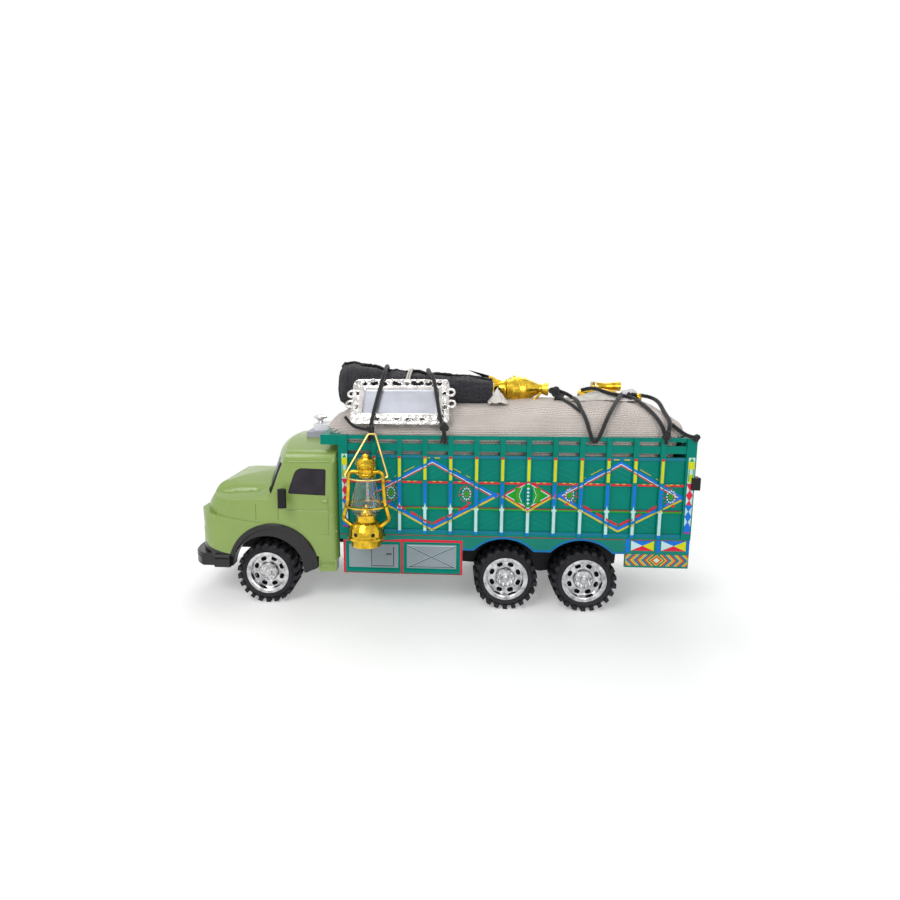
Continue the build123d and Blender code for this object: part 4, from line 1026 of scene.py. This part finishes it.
def sack_piece():
    """A full knitted bag: crowned, with rounded shoulders over the rails; the shallow sags between the cords are
    pressed in after it is made.
    """
    verts = []
    x0, x1, nx, ring = -101.0, 215.0, 100, 48
    seat = 71.8           # the bed's floor
    neck_half = 51.0      # half width between the corner posts
    end_foot = 156.6      # lowest z of the ends that lie on the headboard and the tailgate
    side_foot = 132.0     # and of the rounded upper part of the sides
    crowding = 0.35       # share of the rows' spacing that closes up towards the ends
    end_round = 16.0      # length over which the ends narrow
    for i in range(nx + 1):
        t = i / nx
        x = x0 + (x1 - x0) * (crowding * (0.5 - 0.5 * math.cos(math.pi * t)) + (1 - crowding) * t)
        crown = along(sack_profile, x)[0] - 1.2
        end = min(1.0, (x - x0 + 3.0) / end_round, (x1 - x + 3.0) / end_round)
        half = (sack_half - 0.8) * (0.9 + 0.1 * math.sqrt(max(0.0, end)))
        bottom = end_foot if x < -81.0 or x > 208.0 else side_foot
        floor_z = seat if -69.0 < x < 205.0 else bottom
        middle = (crown + bottom) / 2
        for a in around(ring):
            c, s = math.cos(a), math.sin(a)
            y = half * math.copysign(abs(c) ** 0.5, c)
            if s >= 0:
                drop = (crown - bottom) * 0.5
                bow = 1 - 0.3 * (y / half) ** 2
                z = middle + drop * abs(s) ** 0.62 * bow
            else:
                z = middle - (middle - floor_z) * abs(s) ** 0.5
                if floor_z == seat:
                    neck = min(1.0, (middle - z) / 15.0)
                    y *= 1 - neck * (1 - neck_half / half)
            verts.append(at(x, y, z))
    return make("sack_cover", verts, skin(nx + 1, ring, flip=True), sack_knit, slot="sackcloth")


def puff(obj, voxel, pressure, cap):
    """Remesh, blow up gently as cloth, cap the movement and apply."""
    bpy.context.view_layer.objects.active = obj
    remesh = obj.modifiers.new("remesh", "REMESH")
    remesh.mode = "VOXEL"
    remesh.voxel_size = voxel
    mesh = applied(obj)
    for material in obj.data.materials:
        if not mesh.materials:
            mesh.materials.append(material)
    obj.data = mesh
    frames = 20
    start = [v.co.copy() for v in mesh.vertices]
    cloth = obj.modifiers.new("cloth", "CLOTH")
    settings = cloth.settings
    settings.use_pressure = True
    settings.uniform_pressure_force = pressure
    settings.effector_weights.gravity = 0
    settings.tension_stiffness = 12
    settings.compression_stiffness = 12
    settings.bending_stiffness = 0.4
    settings.mass = 0.2
    cloth.point_cache.frame_start = 1
    cloth.point_cache.frame_end = frames
    scene = bpy.context.scene
    for f in range(1, frames + 1):
        scene.frame_set(f)
    moved = applied(obj)
    for v, w, s in zip(mesh.vertices, moved.vertices, start):
        d = w.co - s
        if d.length > cap:
            d *= cap / d.length
        v.co = s + d
    bpy.data.meshes.remove(moved)
    scene.frame_set(1)


def refine(obj):
    obj.modifiers.new("smooth", "SUBSURF").levels = 1
    obj.data = applied(obj)
    obj.data.polygons.foreach_set("use_smooth", [True] * len(obj.data.polygons))


roll_sections = [
    (-88.0, -5.0, 194.2, 17.8), (-84.5, -5.0, 194.8, 21.4), (-76.0, -5.0, 195.2, 22.6), (-66.0, -8.0, 194.6, 20.2),
    (-45.0, -10.0, 193.5, 18.3), (54.0, -10.0, 189.6, 12.6),
]
tie_x = -24.0
pulled = [(tie_x, 5.0, 0.09), (-44.0, 5.0, 0.09), (-5.0, 5.0, 0.09)]     # x, width, share drawn in


def drawn_in(x):
    return 1 - sum(share * math.exp(-((x - place) / width) ** 2) for place, width, share in pulled)


def roll_piece():
    """A cloth rolled on itself in a little over three turns, drawn in a little under its tie."""
    turns, layer = 3.4, 2.3
    fold, ridge, crumple = 2.2, 0.4, 0.9      # depths of broad folds, slanting ridges and small creases
    nx, ns = 86, 170
    x0, x1 = -88.0, 54.0
    verts, uvs = [], []
    length = 0.0
    for i in range(nx + 1):
        x = x0 + (x1 - x0) * i / nx
        cy, cz, r = along(roll_sections, x)
        r *= drawn_in(x)
        r *= 1 + 0.03 * noise.noise(Vector((x * 0.06, 1.7, 0.3)))
        run = 0.0
        previous = None
        for k in range(ns + 1):
            t = k / ns
            a = TURN * turns * t - 0.9
            inner = max(2.2, r - layer * turns)
            rad = inner + (r - inner) * t - 1.2
            p = Vector((x * 0.045, math.cos(a) * 1.1, math.sin(a) * 1.1 + t * 4))
            rad += fold * noise.noise(p) * (0.3 + 0.7 * t)
            rad += ridge * math.sin(x * 0.12 + a * 7.0 + 2.0 * noise.noise(p * 2.0))
            rad += crumple * noise.noise(Vector((x * 0.3, math.cos(a) * 5.0, math.sin(a) * 5.0)))
            shift = 1.3 * noise.noise(Vector((a * 0.4, 5.0, 0.0))) if i in (0, nx) else 0.0
            v = at(x + shift, cy + rad * math.cos(a), cz + rad * math.sin(a))
            if previous is not None:
                run += (v - previous).length
            previous = v
            verts.append(v)
            uvs.append((x * MM, run + 0.12 * x * MM))
        length = max(length, run)
    obj = make("rolled_cloth", verts, bands(nx + 1, ns + 1, closed=False), roll_cloth, slot="dark_cloth", uvs=uvs)
    obj.data = thickened(obj, 1.5, 0.0)
    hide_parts("cloth_roll")


sack = sack_piece()
puff(sack, voxel=5.0 * MM, pressure=4.0, cap=3.5 * MM)
roll_piece()

# cords, as corners in space; each lies on the load and is tied to the rails
cord_out = 65.9
cord_corners = {
    "cord_front": [
        (-53.6, -cord_out, 150.7), (-52.8, -cord_out, 159.0), (-52.2, -60.8, 169.0), (-45.0, -32.0, 205.0),
        (-44.0, -26.0, 209.0), (-44.0, -10.0, 213.5), (-44.5, 3.0, 209.0), (-46.0, 10.5, 196.0), (-48.0, 20.0, 181.0),
        (-50.0, 42.0, 175.0), (-53.0, 60.5, 167.5), (-54.8, cord_out, 158.0), (-54.8, cord_out, 150.0),
    ],
    "cord_tray": [
        (11.0, -cord_out, 150.6), (9.8, -cord_out, 161.0), (6.3, -60.8, 169.0), (0.3, -32.0, 205.0),
        (-5.0, -24.0, 206.0), (-6.0, -10.0, 210.0), (-4.0, 2.0, 205.0), (-2.0, 8.5, 192.0), (1.0, 19.0, 181.0),
        (4.0, 44.0, 175.0), (8.0, 60.5, 167.0), (9.8, cord_out, 158.0), (11.0, cord_out, 150.0),
    ],
    "cord_middle": [
        (171.0, -12.0, 187.0), (164.0, -26.0, 184.0), (155.0, -43.0, 178.0), (146.0, -57.0, 169.0),
        (139.0, -cord_out, 156.0), (134.6, -cord_out, 149.6), (131.4, -cord_out, 157.0), (130.0, -54.0, 170.0),
        (127.9, -36.0, 179.0), (127.6, -12.0, 184.0), (118.0, -16.0, 189.0), (110.0, -14.0, 191.0),
        (116.0, 2.0, 187.0), (126.0, 20.0, 184.0), (128.0, 44.0, 176.0), (131.0, 60.5, 168.0),
        (132.0, cord_out, 158.0), (132.0, cord_out, 150.0),
    ],
    "cord_rear": [
        (134.3, -14.0, 190.7), (141.0, -14.0, 193.0), (149.0, -14.0, 192.0), (157.0, -14.0, 188.6),
        (167.0, -14.0, 186.6), (178.0, -12.0, 185.0), (182.0, -22.0, 183.0), (187.0, -46.0, 175.0),
        (189.5, -61.0, 167.0), (192.0, -cord_out, 158.0), (193.0, -cord_out, 150.6),
    ],
    "cord_loop": [
        (180.0, -12.0, 187.0), (191.0, -12.4, 186.0), (198.5, -14.5, 184.0), (200.2, -26.0, 181.0),
        (199.0, -41.0, 174.0), (198.4, -57.0, 168.5), (195.0, -64.5, 161.0), (193.0, -cord_out, 154.0),
    ],
    "cord_far": [
        (178.0, -12.0, 186.5), (181.0, 2.0, 190.5), (183.0, 18.0, 184.6), (188.0, 44.0, 176.0), (196.0, 60.5, 168.0),
        (197.0, cord_out, 158.0), (197.0, cord_out, 150.0),
    ],
    "cord_end": [
        (199.0, -58.0, 166.0), (206.0, -63.0, 159.5), (211.5, -65.9, 156.6), (216.3, -65.9, 156.0),
    ],
}
cord_radius = 1.6
lines = {}
sack_tree = tree_of(sack)
for name, corners in cord_corners.items():
    lines[name] = push_out(even(smooth_line(corners), 0.7 * MM), sack_tree, 1.25 * MM, roll_gap=-0.8)

# the cords draw the bag in
sag_depth, sag_width = 2.0, 6.0
pressing = [p for line in lines.values() for p in line[::4]]
for v in sack.data.vertices:
    if v.co.z < 0.155:
        continue
    gap = min((v.co - p).length for p in pressing) / MM
    if gap < 16:
        v.co.z -= sag_depth * MM * math.exp(-(gap / sag_width) ** 2)
refine(sack)
for v in sack.data.vertices:
    p = v.co / MM
    small = noise.noise(Vector((p.x * 0.11, p.y * 0.16, p.z * 0.16)))
    broad = noise.noise(Vector((p.x * 0.03 + 9.0, p.y * 0.045, 3.0)))
    if p.z > 150:
        v.co += v.normal * (0.5 * small + 0.9 * broad) * MM
layer = sack.data.uv_layers.new(name="UVMap")
for face in sack.data.polygons:
    for index in face.loop_indices:
        co = sack.data.vertices[sack.data.loops[index].vertex_index].co
        y = co.y - MID * MM
        down = max(0.0, 0.17 - co.z) * min(1.0, abs(y) / 0.045)
        end_on = abs(face.normal.x) > 0.75
        layer.data[index].uv = (-co.z, y) if end_on else (co.x, math.copysign(abs(y) + down, y))
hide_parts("sack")

for name, line in lines.items():
    verts, faces = swept(line, cord_radius, 12, lobes=3, pitch=5.6)
    obj = make(f"{name}_plait", verts, faces, wool, slot="wool")
    if name in nodes:
        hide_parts(name)


knot_strand, knot_tail = 1.25, 0.55     # radii


def knot(name, center, size, turn=0.0, tails=0, tail_length=9.0):
    """A pulled knot of the same cord, with strands hanging from it."""
    parts = []
    loop = []
    c, s = math.cos(turn), math.sin(turn)
    for a in around(90) + [TURN]:
        x = (math.sin(a) + 2 * math.sin(2 * a)) / 3
        y = (math.cos(a) - 2 * math.cos(2 * a)) / 3
        z = -math.sin(3 * a) * 0.5
        loop.append(at(center[0] + size * (x * c - y * s), center[1] + size * 0.75 * z,
                       center[2] + size * (x * s + y * c)))
    parts.append(swept(loop, knot_strand, 9, lobes=3, pitch=4.0))
    for i in range(tails):
        spread = (i / max(1, tails - 1) - 0.5) if tails > 1 else 0.0
        bend = random.uniform(-0.8, 0.8)
        reach = tail_length * random.uniform(0.85, 1.05)
        cx, cy, cz = center
        pts = [center, (cx + spread * 2.0, cy - 0.4, cz - tail_length * 0.35),
               (cx + spread * 4.6 + bend, cy - 0.2, cz - reach)]
        parts.append(swept(even(smooth_line(pts), 0.6 * MM), knot_tail, 6))
    make(name, *joined(parts), wool, slot="wool")


knot("knot_front", (-52.6, -66.0, 160.6), 3.0, 0.4, 3, 11.0)
knot("knot_tray", (9.9, -66.0, 163.2), 3.2, 1.1, 9, 14.5)
knot("knot_middle", (109.5, -17.5, 190.0), 4.0, 0.2)
knot("knot_middle_low", (113.0, -18.5, 184.5), 3.4, 1.4)
knot("knot_rear", (193.0, -65.4, 157.4), 3.0, 0.9)
knot("knot_end", (216.3, -65.6, 155.6), 2.4, 0.3)
for name, points in {
    "cord_tail_front": [(-54.0, -66.4, 160.2), (-61.0, -67.0, 161.4), (-69.0, -67.0, 164.0), (-74.4, -66.6, 171.6)],
    "cord_tail_middle": [(112.0, -19.0, 186.0), (118.0, -28.0, 182.6), (123.0, -37.0, 177.4), (128.0, -44.0, 174.6)],
}.items():
    line = push_out(even(smooth_line(points), 0.7 * MM), sack_tree, 1.2 * MM)
    make(name, *swept(line, 1.3, 12, lobes=3, pitch=5.0), wool, slot="wool")

# white string round the roll
parts = []
for offset in (-1.2, 1.0):
    ring_points = []
    for a in around(72) + [TURN]:
        slant = 3.0 * math.sin(a + 0.4) + offset
        cy, cz, r = along(roll_sections, tie_x + slant)
        r = r * drawn_in(tie_x + slant) + 0.9
        ring_points.append(at(tie_x + slant, cy + r * math.cos(a), cz + r * math.sin(a)))
    parts.append(swept(ring_points, 0.9, 8, lobes=2, pitch=3.0))
make("string_tie", *joined(parts), string, slot="wool")


# Tray: a shallow pan with an openwork scroll rim, leaning on the roll

lean = math.radians(39.0)
slope = Vector((0, math.sin(lean), math.cos(lean)))
outward = Vector((0, -math.cos(lean), math.sin(lean)))
foot = Vector((-28.0, -57.2, 166.0))


def on_tray(u, v, w):
    p = foot + Vector(X) * u + slope * v + outward * w
    return at(*p)


def rounded(cu, cv, hu, hv, share, corner):
    """A point this share of the way round a rectangle with round corners about (cu, cv)."""
    su, sv = hu - corner, hv - corner
    legs = [(3, (hu, -sv), (hu, sv)), (1, (su, sv), 0), (7, (su, hv), (-su, hv)), (1, (-su, sv), 1),
            (3, (-hu, sv), (-hu, -sv)), (1, (-su, -sv), 2), (7, (-su, -hv), (su, -hv)), (1, (su, -sv), 3)]
    left = (share % 1.0) * sum(leg[0] for leg in legs)
    for length, (u, v), to in legs:
        if left <= length:
            break
        left -= length
    t = left / length
    if isinstance(to, int):
        a = (to + t) * math.pi / 2
        return cu + u + corner * math.cos(a), cv + v + corner * math.sin(a)
    return cu + u + (to[0] - u) * t, cv + v + (to[1] - v) * t


def tray_piece():
    cu, cv = -1.0, 20.4
    steps, scallops, ripples, scrolls = 336, 26, 37, 30
    scallop_depth, ripple_depth, scroll_size = 0.55, 0.4, 2.2
    # rows from the middle out: half length, half height, corner, height above the slope
    rows = [
        (30.0, 10.2, 1.0, 0.2), (31.8, 12.0, 1.2, 0.2), (32.8, 13.0, 1.4, 0.6), (33.6, 13.8, 1.6, 1.9),
        (34.4, 14.6, 1.8, 2.2), (35.4, 15.6, 2.2, 1.9), (36.4, 16.6, 2.6, 1.3), (37.4, 17.6, 3.0, 1.3),
        (38.4, 18.8, 3.4, 1.7), (39.4, 19.9, 3.8, 1.9), (40.6, 21.2, 4.4, 1.7), (41.8, 22.4, 5.0, 1.4),
        (42.8, 23.4, 5.4, 0.8),
    ]
    verts = []
    for j, (u_half, v_half, corner, w) in enumerate(rows):
        for k in range(steps):
            share = k / steps
            out = max(0.0, (j - 7) / 5) * scallop_depth * math.cos(TURN * scallops * share)
            u, v = rounded(cu, cv, u_half + out, v_half + out, share, corner)
            ripple = ripple_depth * math.sin(TURN * ripples * share + j) if 5 < j < 12 else 0.0
            verts.append(on_tray(u, v, w + ripple))
    # openings of the scroll work: middle, half width and half height
    holes = [(-34.0, 39.2, 2.2, 1.9), (-25.0, 39.4, 3.4, 2.3), (-16.0, 39.0, 2.4, 1.8), (-5.0, 39.6, 4.2, 2.4),
             (4.5, 39.0, 1.9, 1.7), (13.5, 39.6, 5.6, 2.5), (24.0, 39.2, 3.0, 2.2), (33.0, 39.0, 2.3, 1.9),
             (-39.6, 14.0, 1.4, 2.4), (-39.6, 28.0, 1.4, 2.4), (38.0, 14.0, 1.4, 2.4), (38.0, 28.0, 1.4, 2.4),
             (-20.0, 1.4, 2.8, 1.2), (-3.0, 1.6, 2.2, 1.2), (8.0, 1.4, 3.0, 1.3), (19.0, 1.6, 2.6, 1.2)]
    faces = []
    indices = []
    for index, quad in enumerate(bands(len(rows), steps)):
        j, k = divmod(index, steps)
        half_u, half_v, corner = [(a + b) / 2 for a, b in zip(rows[j][:3], rows[j + 1])]
        u, v = rounded(cu, cv, half_u, half_v, (k + 0.5) / steps, corner)
        if 4 < j < 11 and any(((u - hu) / ru) ** 2 + ((v - hv) / rv) ** 2 < 1 for hu, hv, ru, rv in holes):
            continue
        faces.append(quad)
        indices.append(1 if j < 2 else 0)
    faces.append(tuple(reversed(range(steps))))
    indices.append(1)
    plate = make("tray_plate", verts, faces, [silver, silver_pan], indices, body=None)
    mesh = thickened(plate, 0.6)
    parts = [([v.co.copy() for v in mesh.vertices], [tuple(f.vertices) for f in mesh.polygons])]
    indices = [f.material_index for f in mesh.polygons]
    bpy.data.objects.remove(plate)

    curl = [i / 21 for i in range(22)]
    for k in range(scrolls):
        share = (k + 0.5) / scrolls
        u, v = rounded(cu, cv, 40.2, 21.0, share, 4.0)
        flip = 1 if k % 2 else -1
        pts = []
        for t in curl:
            a = TURN * share + flip * (0.8 + t * 4.8)
            r = scroll_size * (1.0 - 0.7 * t)
            pts.append(on_tray(u + r * math.cos(a), v + r * math.sin(a), 2.0 + 0.5 * math.sin(t * 3.1)))
        parts.append(swept(pts, [0.9 - 0.5 * t for t in curl], 7))
    for u, v in ((-45.0, 17.0), (-44.4, 28.0), (44.0, 18.0), (43.4, 30.0)):
        ring_pts = [on_tray(u + 3.3 * math.cos(t), v + 3.3 * math.sin(t), 1.2) for t in around(22) + [TURN]]
        parts.append(swept(ring_pts, 1.25, 8))
    for u_half, v_half, w, r, corner in ((42.4, 23.0, 1.1, 0.8, 5.2), (34.4, 14.6, 2.2, 0.6, 1.8)):
        edge_pts = [on_tray(*rounded(cu, cv, u_half, v_half, k / 240, corner), w) for k in range(241)]
        parts.append(swept(edge_pts, r, 7))
    vs, fs = joined(parts)
    obj = make("scroll_tray", vs, fs, [silver, silver_pan], indices + [0] * (len(fs) - len(indices)), slot="silver")
    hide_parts("tray")


tray_piece()


# Small pieces on the coffee pot, the cups and the load

pot_axis = (66.5, 4.0, 190.4)
parts = [lathed([(-10.5, 0.01), (-10.5, 3.6), (-9.0, 5.6), (-5.0, 7.4), (-1.0, 8.4), (1.0, 8.8), (2.0, 7.0)],
                pot_axis, X, 48)]
for d, r in ((2.4, 9.4), (13.0, 12.0), (19.0, 11.3), (33.5, 4.9)):
    ring_profile = [(d - 0.9, r - 0.5), (d - 0.5, r + 0.35), (d + 0.5, r + 0.35), (d + 0.9, r - 0.5)]
    parts.append(lathed(ring_profile, pot_axis, X, 48))
handle = even(smooth_line([(72.0, 5.0, 178.8), (76.0, -2.0, 176.8), (86.0, -7.0, 178.0), (96.0, -7.0, 183.0),
                           (100.0, -1.5, 187.6)]), 0.8 * MM)
parts.append(swept(handle, 1.1, 9))
make("pot_bands", *joined(parts), gold, slot="gilt")

make("cup_bands", *joined([
    lathed([(16.0, 6.2), (16.3, 6.9), (20.5, 6.9), (20.8, 6.2)], (134.5, -3.0, 185.4), X, 40),
    lathed([(2.0, 4.7), (2.3, 5.4), (3.6, 5.4), (3.9, 4.7)], (148.2, 5.0, 193.2), X, 36),
    lathed([(21.0, 2.9), (21.2, 3.5), (22.8, 3.5), (23.0, 2.9)], (170.0, 2.0, 182.2), X, 30),
]), silver, slot="gilt")
make("pale_bowl", *lathed([(0.0, 9.0), (0.9, 9.2), (0.9, 8.6), (4.0, 7.6), (6.8, 5.4), (8.4, 2.4), (8.8, 0.01)],
                          (180.5, -3.0, 183.4), (0.12, -0.1, 1)),
     plastic("pale_bowl", (226, 226, 230), 0.12), slot="gilt")
make("small_rim", *lathed([(0.0, 3.2), (0.3, 3.8), (3.4, 3.8), (3.7, 3.2), (3.4, 2.8), (0.3, 2.8)],
                          (184.5, -13.0, 184.0), (1, -0.2, 0.1), 32), gold, slot="gilt")


def cloth_tip(name, center, size, seed, peak, folds=0.16):
    """A corner of cloth pulled up into soft folds; size is across and along, in mm."""
    nu, nv = 44, 36
    verts = []
    for j in range(nv + 1):
        for i in range(nu + 1):
            u, v = i / nu - 0.5, j / nv - 0.5
            r = math.hypot(u * 1.1, v * 1.1)
            a = math.atan2(v, u)
            lift = peak * max(0.0, 1 - r / 0.62) ** 1.3
            fold = folds * peak * math.sin(a * 5 + seed) * math.exp(-((r - 0.3) / 0.2) ** 2)
            wave = 0.8 * noise.noise(Vector((u * 4 + seed, v * 4, 0.0)))
            wave += 0.09 * peak * (1 - 2 * abs(noise.noise(Vector((u * 9 + v * 5, v * 7 + seed, 4.0)))))
            verts.append(at(center[0] + size[0] * u, center[1] + size[1] * v, center[2] + lift + fold + wave))
    obj = make(name, verts, bands(nv + 1, nu + 1, closed=False), white_cloth, slot="wool")
    obj.data = thickened(obj, 0.7)


cloth_tip("white_cloth_front", (58.0, -21.0, 179.6), (17.0, 16.0), 1.0, 13.5, 0.05)
cloth_tip("white_cloth_rear", (152.0, -7.0, 182.0), (58.0, 30.0), 2.6, 8.0)


# Wheels: nuts, hub caps and a black ring of painted shade behind each wheel's openings

nut = [(-1.2, 1.15), (0.7, 1.15), (1.0, 0.8), (1.1, 0.01)]
hub_cap = [(-1.6, 3.4), (0.2, 3.3), (0.9, 2.7), (1.2, 1.5), (1.3, 0.01)]
# a flat black ring behind the wheel's openings: painted shade of the wheel's dark inside
shade_ring = [(0.0, 5.1), (0.0, 15.2), (-0.8, 15.2), (-0.8, 5.1), (0.0, 5.1)]
nut_ring = 6.4
nut_depth, cap_depth, shade_ring_depth = 1.2, 1.4, 9.5     # how far each starts inside the wheel's outer face
for place, x in axle_xs.items():
    for hand, side in HANDS:
        low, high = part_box(f"wheel_{place}_{hand}")
        out = abs((low if side < 0 else high).y / MM - MID)
        outward = (0, side, 0)
        parts = []
        for a in around(10):
            center = (x + nut_ring * math.cos(a), side * (out - nut_depth), tyre_radius + nut_ring * math.sin(a))
            parts.append(lathed(nut, center, outward, 6))
        parts.append(lathed(hub_cap, (x, side * (out - cap_depth), tyre_radius), outward, 24))
        make(f"wheel_nuts_{place}_{hand}", *joined(parts), wheel_chrome, body=f"{place}_wheels",
             slot="wheel_chrome", smooth=False)
        # the black ring of painted shade behind the openings
        make(f"wheel_shade_ring_{place}_{hand}", *lathed(shade_ring, (x, side * (out - shade_ring_depth), tyre_radius), outward, 48),
             chassis_black, body=f"{place}_wheels", slot="black_plastic", smooth=False)


# Lantern: burner, vents, guard wire, filler cap, and black discs of painted shade in its holes

low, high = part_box("lantern_glass")
lantern_x = (low.x + high.x) / 2 / MM
lantern_y = (low.y + high.y) / 2 / MM - MID
foot_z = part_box("lantern_frame")[0].z / MM


def in_lantern(x, y, z):
    """A place given from the middle of the lantern's foot."""
    return lantern_x + x, lantern_y + y, foot_z + z


def ring_of(profile, count, r, z, steps, turn=0.0):
    """Small turned pieces that stand out all round the lantern at a height."""
    return [lathed(profile, in_lantern(r * math.cos(a + turn), r * math.sin(a + turn), z),
                   (math.cos(a + turn), math.sin(a + turn), 0), steps) for a in around(count)]


parts = [lathed(profile, in_lantern(0, 0, 0), Z, steps) for profile, steps in (
    ([(26.6, 5.2), (28.4, 5.2), (29.6, 3.4), (31.8, 3.0), (32.0, 0.01)], 28),
    ([(31.6, 1.3), (34.4, 1.0), (34.5, 0.01)], 12),
    ([(60.2, 7.0), (60.7, 8.1), (61.6, 8.1), (62.1, 7.0)], 36),
    ([(69.0, 8.3), (69.4, 9.0), (70.2, 9.0), (70.6, 8.3)], 36),
    ([(75.0, 2.6), (76.0, 3.2), (77.4, 2.6), (78.0, 0.01)], 20),
)]
parts.append(lathed([(0.0, 2.6), (2.0, 2.6), (2.6, 2.0), (2.7, 0.01)], in_lantern(-7.5, -7.0, 17.0),
                    (-0.5, -0.6, 0.9), 20))
parts += ring_of([(0.0, 1.0), (0.6, 0.9), (0.8, 0.01)], 8, 13.6, 12.0, 10)
make("lantern_fittings", *joined(parts), gold, body="lantern", slot="gilt")
cross = [in_lantern(*p) for p in ((-16.3, 0.0, 58.0), (-12.0, -9.0, 57.0), (12.0, -9.0, 57.0), (16.3, 0.0, 58.0))]
make("lantern_wire", *swept(even(smooth_line(cross), 0.8 * MM), 0.7, 8), pale_gold, body="lantern", slot="gilt")
# black discs at the lantern's holes: painted shade of their hollow insides
parts = []
for count, r, z, size in ((6, 14.5, 11.8, 1.7), (4, 8.4, 69.7, 1.2)):
    turn = math.pi / count - math.pi / 2
    parts += ring_of([(0.0, size), (0.12, size), (0.16, 0.01)], count, r, z, 16, turn)
make("lantern_hole_shade", *joined(parts), black_plastic, body="lantern", slot="gilt")


# Floor, backdrop and light

def floor_material():
    """White, with soft shadows near the truck and a plain glow farther off, for the rays that show it."""
    near_glow = 0.26
    n = Nodes("pale_floor", 0.9)
    seen = n.seen()
    n.color(n.ramp(n.noise(14.0, 3.0), [(0.3, (0.94, 0.94, 0.94, 1)), (0.7, (0.97, 0.97, 0.97, 1))]))
    gradient = n.add("ShaderNodeTexGradient", gradient_type="SPHERICAL")
    mapping = n.add("ShaderNodeMapping")
    mapping.inputs["Scale"].default_value = (1.1, 1.1, 1.1)
    n.link(n.place(), mapping.inputs["Vector"])
    n.link(mapping.outputs["Vector"], gradient.inputs["Vector"])
    near = n.ramp(gradient.outputs["Fac"], [(0.25, (0, 0, 0, 1)), (0.75, (1, 1, 1, 1))])
    glow = n.add("ShaderNodeEmission", Color=(1, 1, 1, 1), Strength=1.0)
    far = n.math("MULTIPLY", seen, n.math("SUBTRACT", 1.0, near))
    lift = n.add("ShaderNodeEmission", Color=(1, 1, 1, 1))
    n.link(n.math("MULTIPLY", seen, near_glow), lift.inputs["Strength"])
    near_floor = n.wire("ShaderNodeAddShader", n.bsdf.outputs["BSDF"], lift.outputs["Emission"])["Shader"]
    mixed = n.wire("ShaderNodeMixShader", far, near_floor, glow.outputs["Emission"])["Shader"]
    n.link(mixed, n.tree.nodes["Material Output"].inputs["Surface"])
    return n.mat


floor_radius, floor_z, floor_steps = 3.0, -0.0003, 64      # metres
floor_verts = [Vector((0, 0, floor_z))]
floor_verts += [Vector((floor_radius * math.cos(a), floor_radius * math.sin(a), floor_z)) for a in around(floor_steps)]
floor_faces = [(0, k + 1, (k + 1) % floor_steps + 1) for k in range(floor_steps)]
floor = make("floor", floor_verts, floor_faces, floor_material(), body=None)
floor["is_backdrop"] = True

world = bpy.data.worlds.new("studio")
world.use_nodes = True
bpy.context.scene.world = world
graph = Graph(world.node_tree)
lit = graph.tree.nodes["Background"]
glow = graph.add("ShaderNodeBackground", Color=(1, 1, 1, 1), Strength=1.0)
for socket, value in zip(lit.inputs, ((1, 1, 1, 1), 0.38)):
    socket.default_value = value
mixed = graph.wire("ShaderNodeMixShader", graph.seen(), lit.outputs["Background"], glow.outputs["Background"])["Shader"]
graph.link(mixed, graph.tree.nodes["World Output"].inputs["Surface"])

# name, place, size and power, all turned to one spot on the truck
aim = Vector((0, 0, 0.08))
for name, place, size, power in (
    ("key", (-0.5, -0.9, 1.0), 0.7, 6.5),
    ("front", (0.5, -1.4, 0.5), 0.8, 5.0),
    ("back", (0.3, 1.0, 0.9), 0.8, 4.5),
    ("top", (-0.2, 0.42, 1.15), 0.6, 2.8),
):
    lamp = bpy.data.lights.new(name, "AREA")
    lamp.shape = "DISK"
    lamp.size = size
    lamp.energy = power
    obj = placed(name, lamp)
    obj.location = place
    obj.rotation_euler = (aim - Vector(place)).to_track_quat("-Z", "Y").to_euler()
bpy.context.scene.view_settings.view_transform = "Standard"

size = {"cad": [list(corner) for corner in cad_box], "visual": [list(corner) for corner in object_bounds()]}
